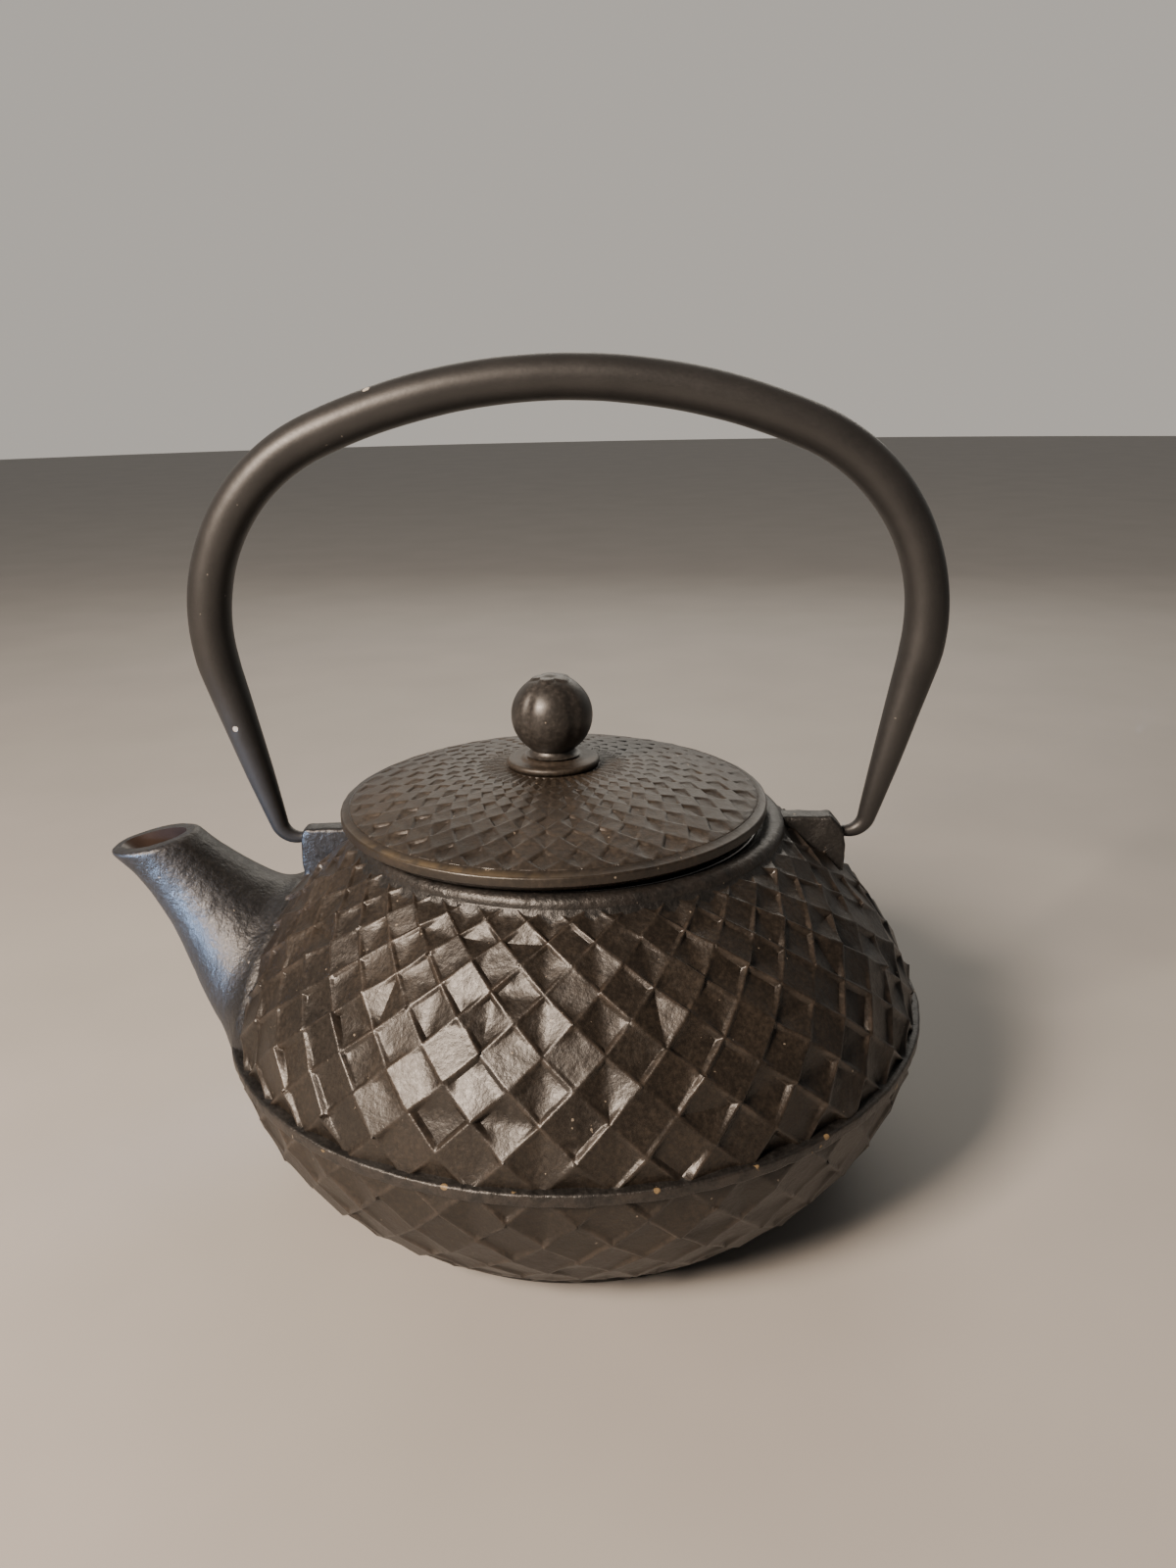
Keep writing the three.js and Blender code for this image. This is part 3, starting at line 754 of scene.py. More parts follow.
def spout_horn():
    """The outside of the spout, flared where it meets the body and rounded at its lip."""
    length, sections, lip_sections = 32, 56, 6
    lip = np.linspace(0, 1, lip_sections + 1)[1:] * np.pi / 2
    lip_share = LIP_ROUND / length
    shares = np.concatenate([np.linspace(0, 1 - lip_share, sections), 1 - lip_share * (1 - np.sin(lip))])
    insets = np.concatenate([np.zeros(sections), LIP_ROUND * (1 - np.cos(lip))])
    rings = spout_rings(SPOUT_WIDTH, shares, insets, 72)
    along = np.gradient(rings, axis=0)
    around = (np.roll(rings, -1, 1) - np.roll(rings, 1, 1)) / 2
    normals = np.cross(around, along)
    normals /= np.linalg.norm(normals, axis=2)[:, :, None]
    middle = rings.mean(1, keepdims=True)
    normals *= np.sign(((rings - middle) * normals).sum(2))[:, :, None]
    z = rings[:, :, 2]
    gap = np.hypot(rings[:, :, 0], rings[:, :, 1]) - wall_radius(z)
    slope = wall_radius(z + 0.5) - wall_radius(z - 0.5)
    gap = gap / np.sqrt(1 + slope**2)
    flare = 0.32 * ROOT_FILLET * np.clip(1 - gap / ROOT_FILLET, 0, 1.3) ** 2
    flare[-lip_sections:] = 0
    rings = rings + normals * flare[:, :, None]
    horn = loft("spout_horn", rings)
    return displace(horn, lambda p: 0.12 * lumps(p, 6, 5) + 0.07 * lumps(p, 2.2, 6))


def spout_passage():
    """The way out through the spout, widening a little at its mouth and running past it."""
    sections, flare_from, end, widening = 30, 0.97, 1.06, 0.9
    ramp = np.linspace(0, 1, 6)[1:]
    shares = np.concatenate([np.linspace(0, flare_from, sections), flare_from + (end - flare_from) * ramp])
    insets = np.concatenate([np.full(sections, SPOUT_WALL), SPOUT_WALL - widening * ramp**2])
    return loft("spout_passage", spout_rings(PASSAGE_WIDTH, shares, insets, 48))


def lug(side, top_z, chamfer):
    """A cast plate that holds one end of the handle, with soft edges and a rough skin."""
    inner = COLLAR_R - 0.5
    outline = [(inner, top_z), (LUG_OUT_X - chamfer, top_z), (LUG_OUT_X - 0.4, top_z - chamfer),
               (LUG_OUT_X, PIVOT_Z - 3), (LUG_OUT_X, PIVOT_Z - 9.4), (inner, PIVOT_Z + 0.6)]
    half = LUG_THICK / 2
    points = [(side * x, y, z) for y in (-half, half) for x, z in outline]
    count = len(outline)
    faces = [list(range(count)), list(range(2 * count - 1, count - 1, -1))]
    faces += [[i, i + count, (i + 1) % count + count, (i + 1) % count] for i in range(count)]
    plate = turn_outwards(make_object(f"lug_{side}", points, faces))
    work = bmesh.new()
    work.from_mesh(plate.data)
    bmesh.ops.bevel(work, geom=work.edges[:], offset=LUG_BEVEL * MM, segments=4, affect="EDGES", profile=0.5)
    bmesh.ops.subdivide_edges(work, edges=[e for e in work.edges if e.calc_length() > 2.5 * MM], cuts=7,
                              use_grid_fill=True)
    bmesh.ops.triangulate(work, faces=work.faces)
    work.to_mesh(plate.data)
    work.free()
    return displace(plate, lambda p: 0.26 * lumps(p, 3.4, 8) + 0.16 * lumps(p, 1.5, 9))


def pin_hole(side):
    """The blind hole for the handle's pin, flared at the lug's face."""
    around = 32
    turn = np.linspace(0, 2 * np.pi, around, endpoint=False)
    mouth_r = PIN_HOLE_R + 0.5
    stops = ((PIN_HOLE_END_X, PIN_HOLE_R * 0.8), (PIN_HOLE_END_X + 0.8, PIN_HOLE_R),
             (LUG_OUT_X - 0.7, PIN_HOLE_R), (LUG_OUT_X + 0.1, mouth_r), (LUG_OUT_X + 2, mouth_r))
    rings = [np.stack([np.full(around, x * side), r * np.cos(turn), PIVOT_Z + r * np.sin(turn)], -1)
             for x, r in stops]
    return loft(f"pin_hole_{side}", rings)


def collar_disc():
    """The raised collar, a soft round ring, as a disc to be hollowed later."""
    profile = [(0, 64), (40, 64), (46.4, 71.6), (44.9, 73.7), (44.35, 74.5)]
    profile += [(COLLAR_R + 0.02, 75.05), (COLLAR_R - 0.16, 75.65), (COLLAR_R - 0.6, 76.2)]
    profile += [(COLLAR_R - 1.25, 76.56), (COLLAR_R - 2.1, COLLAR_Z), (COLLAR_R - 3.2, 76.55)]
    profile += [(COLLAR_R - 4.0, 76.15), (COLLAR_R - 4.4, 75.6)]
    disc = lathe("collar_disc", profile + [(0, 75.6)], 240)
    return displace(disc, lambda p: 0.07 * lumps(p, 3.0, 12) + 0.05 * lumps(p, 1.3, 13))


def foot_disc():
    """The foot: a flat ring to stand on round a slightly sunken middle."""
    edge = float(wall_radius(np.array(1.2)))
    profile = [(0, 0.8), (edge - 6.5, 0.8), (edge - 6.1, 0.0)] + arc((edge - 1.0, 1.0), 1.0, -90, 0, 5)
    profile += [(edge + 0.15, 1.9), (edge + 0.7, 2.6), (edge - 8, 6), (0, 6)]
    return lathe("foot_disc", profile, 240)


def seam_ring():
    """The narrow raised line where the two mould halves met, a little uneven."""
    half = RING_HALF
    profile = [(RING_R - 5, SEAM_Z - half)] + arc((RING_R - 0.55, SEAM_Z - half + 0.5), 0.5, -90, 0, 4)
    profile += arc((RING_R - 0.55, SEAM_Z + half - 0.5), 0.5, 0, 90, 4) + [(RING_R - 5, SEAM_Z + half)]
    ring = lathe("seam_ring", profile, 480)
    return displace(ring, lambda p: 0.14 * lumps(p, 2.0, 21) + 0.10 * lumps(p, 6.0, 22))


def cavity():
    """The space inside, with the mouth and the ledge for the infuser."""
    inside = BELLY_R - WALL
    low = (LOWER[0] - WALL, LOWER[1])
    high = (UPPER[0] - WALL - 0.4, UPPER[1])

    def quarter(height, power, side, reach, steps):
        last = math.asin((reach / height) ** (power / 2))
        turn = np.linspace(0, last, steps + 1)
        return [(inside * math.cos(t) ** (2 / power), SEAM_Z + side * height * math.sin(t) ** (2 / power))
                for t in turn]

    lower = quarter(*low, -1, SEAM_Z - FLOOR_Z, 22)[::-1]
    upper = quarter(*high, 1, MOUTH_UNDER_Z - SEAM_Z, 22)[1:]
    above = COLLAR_Z + 1
    profile = [(0, FLOOR_Z)] + lower + upper + [(MOUTH_R, MOUTH_UNDER_Z), (MOUTH_R, LEDGE_Z - 0.2),
                                                (MOUTH_R + 0.2, LEDGE_Z), (REBATE_R, LEDGE_Z),
                                                (REBATE_R, above), (0, above)]
    return lathe("cavity", profile, 180)


def teapot_body(relief_iron, smooth_iron, inside):
    """The whole casting: relief wall, collar, foot, seam, spout and lugs, hollowed out."""
    body = paint(relief_wall(), relief_iron, smooth_iron, inside)
    joined = [collar_disc(), foot_disc(), seam_ring(), spout_horn(), lug(*LEFT_LUG), lug(*RIGHT_LUG)]
    cuts = [cavity(), spout_passage()]
    holes = [pin_hole(-1), pin_hole(1)]
    for thing in joined + holes:
        paint(thing, smooth_iron)
    for thing in cuts:
        paint(thing, inside)
    combine(body, [("UNION", thing) for thing in joined] + [("DIFFERENCE", thing) for thing in cuts + holes])
    points = vertex_places(body.data)
    radius = np.hypot(points[:, 0], points[:, 1])
    near_seam = np.clip(1 - np.abs(points[:, 2] - SEAM_Z) / 1.8, 0, 1) * (radius > RING_R - 1.2)
    ring_edge = near_seam * np.clip((radius - RING_R + 0.5) / 0.4, 0, 1)
    collar_edge = (np.abs(radius - COLLAR_R + 0.4) < 0.9) * (points[:, 2] > COLLAR_Z - 1.8)
    spout_lip = np.clip(1 - np.abs(points[:, 0] + 89) / 12, 0, 1) * (points[:, 2] > 69.2) * (radius > 77)
    add_wear(body.data, np.maximum.reduce([ring_edge, 0.3 * collar_edge, 0.35 * spout_lip]))
    set_values(body.data, "seam", near_seam > 0.01)
    return crisp(body, [62, 30, 30], 27)


# ------------------------------------------------------------------ handle
def handle_stations():
    """Centreline from the middle of the top to the pin on the +X side: x, z, heading and radius."""
    top_r, top_end, corner_r, leg = 119.4, math.radians(23.4), 39.6, math.radians(104.3)
    elbow_r, pin_r, pin_end, taper, power = 4.2, 1.1, 50.5, 42.6, 0.72
    x, z, heading = 0.0, HANDLE_TOP_Z, 0.0
    stations = [(x, z, heading)]

    def bend(radius, end, steps):
        nonlocal x, z, heading
        cx, cz, start = x - radius * math.sin(heading), z - radius * math.cos(heading), heading
        for i in range(1, steps + 1):
            heading = start + (end - start) * i / steps
            x, z = cx + radius * math.sin(heading), cz + radius * math.cos(heading)
            stations.append((x, z, heading))

    def straight(length, steps):
        nonlocal x, z
        for _ in range(steps):
            x += length / steps * math.cos(heading)
            z -= length / steps * math.sin(heading)
            stations.append((x, z, heading))

    bend(top_r, top_end, 24)
    bend(corner_r, leg, 36)
    straight((z - PIVOT_Z - elbow_r * (1 + math.cos(leg))) / math.sin(leg), 44)
    bend(elbow_r, math.pi, 16)
    straight(x - pin_end, 8)
    stations = np.array(stations)
    steps = np.hypot(np.diff(stations[:, 0]), np.diff(stations[:, 1]))
    left = np.concatenate([np.cumsum(steps[::-1])[::-1], [0]]) - (LUG_OUT_X - pin_end)
    radius = pin_r + (BAR_R - pin_r) * np.clip(left / taper, 0, 1) ** power
    return np.column_stack([stations, radius])


def handle_bar(material):
    """The bail: a round bar along its centreline, slightly uneven and dented at the chips."""
    half = handle_stations()
    mirrored = half[:0:-1] * [-1, 1, -1, 1]
    stations = np.vstack([mirrored, half])
    turn = np.linspace(0, 2 * np.pi, 40, endpoint=False)
    x, z, heading, radius = stations.T
    out = radius[:, None] * np.cos(turn)
    rings = np.stack([x[:, None] + out * np.sin(heading)[:, None], -radius[:, None] * np.sin(turn),
                      z[:, None] + out * np.cos(heading)[:, None]], -1)
    bar = paint(loft("handle_bar", rings), material)

    def unevenness(p):
        free = np.clip((p[:, 2] - PIVOT_Z - 3) / 12, 0, 1)
        dent = sum(np.exp(-((np.linalg.norm(p - np.array(chip), axis=1) / 1.1) ** 2)) for chip in CHIPS)
        return free * (0.10 * lumps(p, 14, 31) + 0.03 * lumps(p, 4, 32)) - 0.14 * dent

    displace(bar, unevenness)
    return crisp(bar, [40])


# ------------------------------------------------------------------ lid and knob

def lid_top(radius):
    """Height of the lid's dome at a distance from its axis."""
    rise, span = LID_CROWN_Z - LID_RIM_Z, LID_R - SEAT_R
    dome = (span**2 + rise**2) / (2 * rise)
    out = np.clip(np.asarray(radius, float) - SEAT_R, 0, None)
    return LID_CROWN_Z - (dome - np.sqrt(dome**2 - out**2))


def lid_cells(rows, draw):
    """Facets of the lid. Odd rows take turns of an upright valley and a sunken tray; even rows are level."""
    corners, folds = {}, {}
    for row in rows:
        corners[row], folds[row] = [], []
        for column in range(LID_COLUMNS):
            some = draw.uniform(-0.07, 0.07, 4)
            deep = draw.uniform(0.75, 1.2)
            if row >= FLUTED_ROW:
                four = (-0.9, 0.2, -0.9, 0.2) if row % 2 else (0.2, -0.9, 0.2, -0.9)
            elif row % 2 == 0:
                four = (0.04, -0.12, 0.04, -0.12)
            elif (column + row // 2) % 2:
                four = (-0.8 * deep, 0.1, -0.8 * deep, 0.1)
            else:
                four = (-0.55 * deep, 0.0, -0.7 * deep, -0.7 * deep)
            corners[row].append(tuple(np.array(four) + some))
            folds[row].append(row % 2 == 1 or row >= FLUTED_ROW)
    return corners, folds


def lid_relief():
    """The patterned skin of the lid: diamonds that shrink towards the knob and end as flutes."""

    def surface(u, v):
        v = np.asarray(v, float)
        radius = np.minimum(LATTICE_R * np.exp(-np.maximum(v, 0) * math.pi / 38.2), PATTERN_R + 0.4)
        radius = radius + 0.3 * np.maximum(-v, 0)
        phi = np.radians(-90 + u * 360 / LID_COLUMNS)
        z = lid_top(radius)
        slope = (lid_top(radius + 0.05) - lid_top(radius - 0.05)) / 0.1
        size = np.sqrt(1 + slope**2)
        points = np.stack([radius * np.cos(phi), radius * np.sin(phi), z], -1)
        normals = np.stack([-slope * np.cos(phi), -slope * np.sin(phi), np.ones_like(z)], -1) / size[:, None]
        return points, normals

    rows = range(0, LID_ROWS)
    corners, folds = lid_cells(rows, np.random.RandomState(5))

    def level(row, middle):
        return -0.9 if row > FLUTED_ROW else -0.12

    points, normals, heights, rims, row_at, triangles = diamond_lattice(
        rows, LID_COLUMNS, corners, folds, level, surface, LID_STEP)
    radius = np.hypot(points[:, 0], points[:, 1])
    fade = np.clip((PATTERN_R - 0.2 - radius) / 1.4, 0, 1)
    depth = 0.06 + 0.62 * radius / PATTERN_R
    heights = heights * depth * fade - 0.10 * (1 - fade) - np.clip(radius - PATTERN_R + 0.2, 0, 1)
    heights = heights + 0.04 * fade * lumps(points, 2.0, 41)
    heights = np.where(radius < SEAT_R - 0.9, -0.4, heights)
    points = points + normals * heights[:, None]
    wear = rims * fade * 0.12
    # The back of the skin: rings of points from the outer zigzag to the inner one.
    loops = []
    edges = open_edges(triangles)
    for at in (row_at[edges[:, 0]] < LID_ROWS / 2, row_at[edges[:, 0]] > LID_ROWS / 2):
        loop = edges[at, 0]
        loops.append(loop[np.argsort(np.arctan2(points[loop, 1], points[loop, 0]))])
    angle = [np.arctan2(points[loop, 1], points[loop, 0]) for loop in loops]
    reach = [radius[loop] for loop in loops]
    rings = [loops[0]]
    for share in np.linspace(0, 1, 8):
        r = reach[0] + (reach[1] - reach[0]) * share
        a = angle[0] + (angle[1] - angle[0]) * share
        rings.append(np.arange(len(r)) + len(points))
        points = np.vstack([points, np.stack([r * np.cos(a), r * np.sin(a), lid_top(r) - 1.5], -1)])
    rings.append(loops[1])
    faces = triangles.tolist()
    for low, high in zip(rings[:-1], rings[1:]):
        faces += np.stack([low, np.roll(low, -1), np.roll(high, -1), high], -1).tolist()
    wear = np.concatenate([wear, np.zeros(len(points) - len(wear))])
    return turn_outwards(make_object("lid_casting", points + [LID_X, 0, 0], faces, {"wear": wear}))


def lid_core():
    """The lid's turned shape: rim, underside, skirt and the hole for the knob's stud."""
    rim = arc((LID_R - 0.45, LID_RIM_Z - 0.48), 0.45, 0, 95, 6)
    top = [(r, float(lid_top(r)) - 0.85) for r in np.linspace(PATTERN_R - 1.3, SEAT_R + 0.6, 24)]
    dish_r = SKIRT_R - SKIRT_WALL
    under = [(r, float(lid_top(r)) - LID_THICK) for r in np.linspace(SEAT_R, dish_r - 0.8, 14)]
    corner = arc((dish_r - 0.8, float(lid_top(dish_r)) - LID_THICK - 0.8), 0.8, 80, 0, 4)
    skirt = arc((dish_r + 0.6, SKIRT_END_Z + 0.6), 0.6, 180, 270, 4)
    skirt += arc((SKIRT_R - 0.6, SKIRT_END_Z + 0.6), 0.6, -90, 0, 4)
    seat = arc((SKIRT_R + 0.5, LID_UNDER_Z - 0.5), 0.5, 180, 90, 4)
    inner_z, edge_z = LID_CROWN_Z - LID_THICK, float(lid_top(PATTERN_R))
    profile = [(STUD_HOLE_R, inner_z), (SEAT_R, inner_z)] + under[1:] + corner + skirt + seat
    profile += [(LID_SEAT_R, LID_UNDER_Z), (LID_R - 0.3, LID_RIM_Z - 2.1), (LID_R, LID_RIM_Z - 1.8)] + rim
    profile += [(PATTERN_R, edge_z - 0.05), (PATTERN_R - 0.6, edge_z - 0.5)] + top
    profile += [(SEAT_R - 0.1, LID_CROWN_Z), (STUD_HOLE_R + 0.2, LID_CROWN_Z)]
    profile += [(STUD_HOLE_R, LID_CROWN_Z - 0.2)]
    core = lathe("lid_core", profile, 240, LID_X)
    return displace(core, lambda p: np.where((p[:, 2] > LID_UNDER_Z + 0.2) & (p[:, 2] < LID_CROWN_Z - 4),
                                             0.06 * lumps(p, 2.6, 44), 0))


def lid_casting(pattern_iron, rim_iron):
    """The lid, with wear along the rim's edge and a painted golden highlight on the rim's near left side,
    where the key light glints.
    """
    lid = paint(lid_relief(), pattern_iron, rim_iron)
    combine(lid, [("UNION", paint(lid_core(), rim_iron))])
    points = vertex_places(lid.data) - [LID_X, 0, 0]
    radius = np.hypot(points[:, 0], points[:, 1])
    phi = np.degrees(np.arctan2(points[:, 1], points[:, 0]))
    edge = np.clip(1 - np.abs(radius - LID_R + 0.75) / 0.8, 0, 1) * (points[:, 2] > LID_RIM_Z - 1.2)
    # The golden mark is a painted highlight on the rim's near left side, where the key light glints.
    set_values(lid.data, "painted_rim_glint", edge * np.exp(-(((phi + 118) / 26) ** 2)))
    add_wear(lid.data, 0.5 * edge)
    return crisp(lid, [60, 30], 20)


def knob(material):
    """A five-lobed ball with a small leafy cap, on a neck and a threaded stud."""
    seat_top = SEAT_HI[2] + 0.3
    turn = np.linspace(math.asin(NECK_R / BALL_R), math.pi, 64)[1:-1]
    ball = [(BALL_R * math.sin(t), BALL_Z - BALL_R * math.cos(t)) for t in turn]
    stud = [(STUD_R, z) for z in np.linspace(STUD_END_Z + 0.5, seat_top - 1.2, 84)]
    profile = [(0, STUD_END_Z), (STUD_R - 0.45, STUD_END_Z)] + stud + [(STUD_R, seat_top)]
    profile += [(NECK_R + 1.0, seat_top), (NECK_R + 1.15, seat_top + 0.12), (NECK_R + 0.75, seat_top + 0.28)]
    profile += [(NECK_R + 0.38, seat_top + 0.5), (NECK_R + 0.14, seat_top + 0.8), (NECK_R, seat_top + 1.15)]
    profile += ball + [(0, BALL_Z + BALL_R)]
    piece = paint(lathe("knob_casting", profile, 120, LID_X), material)
    mesh = piece.data
    local = vertex_places(mesh) - [LID_X, 0, 0]
    phi = np.arctan2(local[:, 1], local[:, 0])
    radius = np.hypot(local[:, 0], local[:, 1])
    # Screw thread on the stud.
    on_stud = (radius > STUD_R - 0.1) & (radius < STUD_R + 0.1) & (local[:, 2] < SEAT_LO[2] - 3)
    thread = np.abs((local[:, 2] / 0.7 - phi / (2 * np.pi)) % 1 - 0.5) * 2
    shrink = np.where(on_stud, 1 - 0.13 * thread, 1)
    # Grooves between the lobes and the cap, on the ball.
    rise = local - [0, 0, BALL_Z]
    out = rise / np.maximum(np.linalg.norm(rise, axis=1), 1e-9)[:, None]
    polar = np.degrees(np.arccos(np.clip(out[:, 2], -1, 1)))
    on_ball = local[:, 2] > seat_top + 1.1
    half = LOBE_TURN / 2
    lobe = (np.degrees(phi) + 90 + half) % LOBE_TURN
    lobe = np.minimum(lobe, LOBE_TURN - lobe) / half
    groove = np.exp(-((lobe / 0.24) ** 2))
    groove = groove * np.clip((polar - 34) / 25, 0, 1) * np.clip((150 - polar) / 40, 0, 1)
    leaf = (np.degrees(phi) + 70) % LOBE_TURN
    leaf = np.abs(leaf - half) / half
    reach = 31 - 9 * leaf**1.5 + 2.0 * lumps(local, 2.5, 51)
    cap = np.clip((reach - polar) / 5.5, 0, 1)
    cap = cap * cap * (3 - 2 * cap)
    dimple = np.exp(-((polar - 13) / 5) ** 2) * (0.5 + 0.5 * lumps(local, 1.9, 52))
    stem = np.exp(-((polar / 6.5) ** 2))
    raised = cap * (0.30 + 0.10 * lumps(local, 1.8, 53))
    push = on_ball * (-0.34 * groove + raised - 0.3 * dimple + 0.12 * stem)
    push = push - on_ball * 0.32 * np.clip(1 - polar / 30, 0, 1)
    local[:, :2] *= shrink[:, None]
    moved = local + out * push[:, None] + [LID_X, 0, 0]
    mesh.vertices.foreach_set("co", (moved * MM).ravel())
    set_values(mesh, "wear", on_ball * cap * 0.35)
    mesh.update()
    return crisp(piece, [35])


def knob_seat(material):
    """The stepped disc between the knob and the lid."""
    low, high = SEAT_LO[2], SEAT_HI[2]
    under = [(1.6, 0), (1.2, -0.15), (0.5, -0.15)]  # in from the edge, up from the underside
    over = [(1.5, 1.24), (2.1, 1.12), (2.7, 1.14), (3.1, 1.3), (3.4, 1.52)]
    profile = [(STUD_HOLE_R, low)] + [(SEAT_R - inwards, low + up) for inwards, up in under]
    profile += arc((SEAT_R - 0.7, low + 0.62), 0.7, -60, 85, 9)
    profile += [(SEAT_R - inwards, low + up) for inwards, up in over]
    profile += [(SEAT_R - 3.8, high), (STUD_HOLE_R, high)]
    return turned("knob_seat_disc", profile, 120, material, LID_X)


def knob_washer(material):
    """A stamped washer, rounded below and sharper above."""
    low, high, radius = WASHER_LO[2], WASHER_HI[2], (WASHER_HI[0] - WASHER_LO[0]) / 2
    profile = [(STUD_HOLE_R, low + 0.1), (STUD_HOLE_R + 0.1, low)]
    profile += arc((radius - 0.3, low + 0.3), 0.3, -90, 0, 4)
    profile += arc((radius - 0.12, high - 0.12), 0.12, 0, 90, 3) + [(STUD_HOLE_R, high)]
    return turned("knob_washer_disc", profile, 72, material, LID_X)


def knob_nut(material):
    """A hexagon nut with both faces chamfered."""
    low, high = NUT_LO[2], NUT_HI[2]
    corner = (NUT_HI[0] - NUT_LO[0]) / 2
    flat = corner * math.cos(math.pi / 6)
    turn = np.arange(6) * math.pi / 3
    x, y = LID_X + corner * np.cos(turn), corner * np.sin(turn)
    nut = loft("knob_nut_hex", [np.stack([x, y, np.full(6, z)], -1) for z in (low, high)])
    top_r, side_r = flat - 0.55, corner + 0.3
    cone = [(0, low - 0.2), (top_r, low - 0.2), (side_r, low + 0.75), (side_r, high - 0.75),
            (top_r, high + 0.2), (0, high + 0.2)]
    mouth_r, bore_r = STUD_HOLE_R + 0.35, STUD_HOLE_R - 0.08
    bore = [(0, low - 1), (mouth_r, low - 1), (mouth_r, low), (bore_r, low + 0.45), (bore_r, high - 0.45),
            (mouth_r, high), (mouth_r, high + 1), (0, high + 1)]
    combine(nut, [("INTERSECT", lathe("nut_chamfer", cone, 72, LID_X)),
                  ("DIFFERENCE", lathe("nut_bore", bore, 48, LID_X))])
    return crisp(paint(nut, material), [20])


# ------------------------------------------------------------------ infuser
def wires(name, paths, closed):
    """Thin tubes. Each path is its points and two directions across it."""
    sides = WIRE_SIDES
    points, faces = [], []
    for line, first, second in paths:
        count = len(line)
        base = sum(len(p) for p in points)
        ring = [line + WIRE_R * (first * math.cos(t) + second * math.sin(t))
                for t in np.arange(sides) * 2 * math.pi / sides]
        points.append(np.stack(ring, 1).reshape(-1, 3))
        for k in range(count if closed else count - 1):
            low, high = base + k * sides, base + (k + 1) % count * sides
            faces += [(low + i, low + (i + 1) % sides, high + (i + 1) % sides, high + i)
                      for i in range(sides)]
        if not closed:
            last = base + (count - 1) * sides
            faces += [tuple(range(base + sides - 1, base - 1, -1)), tuple(range(last, last + sides))]
    return make_object(name, np.vstack(points), faces)


def join_meshes(name, parts, material):
    """One object from several meshes."""
    work = bmesh.new()
    for part in parts:
        work.from_mesh(part.data)
    mesh = bpy.data.meshes.new(name)
    bmesh.ops.recalc_face_normals(work, faces=work.faces)
    work.to_mesh(mesh)
    work.free()
    for part in parts:
        bpy.data.objects.remove(part)
    thing = bpy.data.objects.new(name, mesh)
    bpy.context.scene.collection.objects.link(thing)
    paint(thing, material)
    mesh.shade_smooth()
    return thing


def mesh_wall(material):
    """Woven wire round the infuser, over and under in turn."""
    outer = (MESH_HI[0] - MESH_LO[0]) / 2
    middle = outer - 0.175
    low, high = MESH_LO[2], MESH_HI[2]
    uprights = 2 * round(math.pi * middle / WIRE_PITCH)
    hoops = round((high - low) / WIRE_PITCH)
    turn = np.arange(uprights) * 2 * math.pi / uprights
    z = np.linspace(low, high, 2 * hoops + 1)
    up_paths = []
    for i, t in enumerate(turn):
        out = np.array([math.cos(t), math.sin(t), 0])
        along = np.array([-math.sin(t), math.cos(t), 0])
        wave = WIRE_SWAY * np.sin(np.pi * (z - low) / (high - low) * hoops + math.pi * i)
        line = out * (middle + wave)[:, None] + np.stack([0 * z, 0 * z, z], -1)
        up_paths.append((line, out, along))
    fine = np.arange(2 * uprights) * math.pi / uprights
    hoop_paths = []
    for k in range(hoops):
        level = low + (k + 0.5) * (high - low) / hoops
        out = np.stack([np.cos(fine), np.sin(fine), 0 * fine], -1)
        wave = -WIRE_SWAY * np.cos(fine * uprights / 2 + math.pi * k)
        line = out * (middle + wave)[:, None] + [0, 0, level]
        hoop_paths.append((line, out, UP))
    parts = [wires("wall_uprights", up_paths, False), wires("wall_hoops", hoop_paths, True)]
    return join_meshes("infuser_wire_wall", parts, material)


def mesh_bottom(material):
    """Flat woven wire across the infuser's bottom."""
    radius = (SIEVE_HI[0] - SIEVE_LO[0]) / 2
    level = (SIEVE_LO[2] + SIEVE_HI[2]) / 2
    reach = int(radius / WIRE_PITCH)
    along_x, along_y = np.array([1.0, 0, 0]), np.array([0, 1.0, 0])
    parts = []
    for name, way, across, sign in (("sieve_x", along_x, along_y, 1), ("sieve_y", along_y, along_x, -1)):
        paths = []
        for i in range(-reach, reach + 1):
            place = i * WIRE_PITCH
            half = math.sqrt(radius**2 - place**2)
            count = int(half / WIRE_PITCH * 2)
            if count < 2:
                continue
            s = np.arange(-count, count + 1) * WIRE_PITCH / 2
            wave = sign * WIRE_SWAY * np.cos(np.pi * (s / WIRE_PITCH + i))
            line = way * s[:, None] + across * place + UP * (level + wave)[:, None]
            paths.append((line, across, UP))
        parts.append(wires(name, paths, False))
    return join_meshes("infuser_wire_bottom", parts, material)


def infuser_collar(material):
    """Flange and band drawn from one sheet, with a rolled edge."""
    outer, band = (BAND_HI[0] - BAND_LO[0]) / 2, 35.2
    inner, low, high = band - 0.5, BAND_HI[2] - 0.6, BAND_HI[2]
    profile = [(inner, BAND_LO[2] + 0.15), (inner + 0.15, BAND_LO[2]), (band, BAND_LO[2]), (band, low - 0.5)]
    profile += [(band + 0.15, low - 0.15), (band + 0.5, low)] + arc((outer - 0.3, low + 0.3), 0.3, -90, 90, 6)
    profile += [(outer - 0.9, high - 0.12), (outer - 1.4, high - 0.12)]
    profile += arc((inner + 0.8, high - 0.9), 0.8, 90, 180, 6)
    return turned("infuser_collar_ring", profile, 180, material)


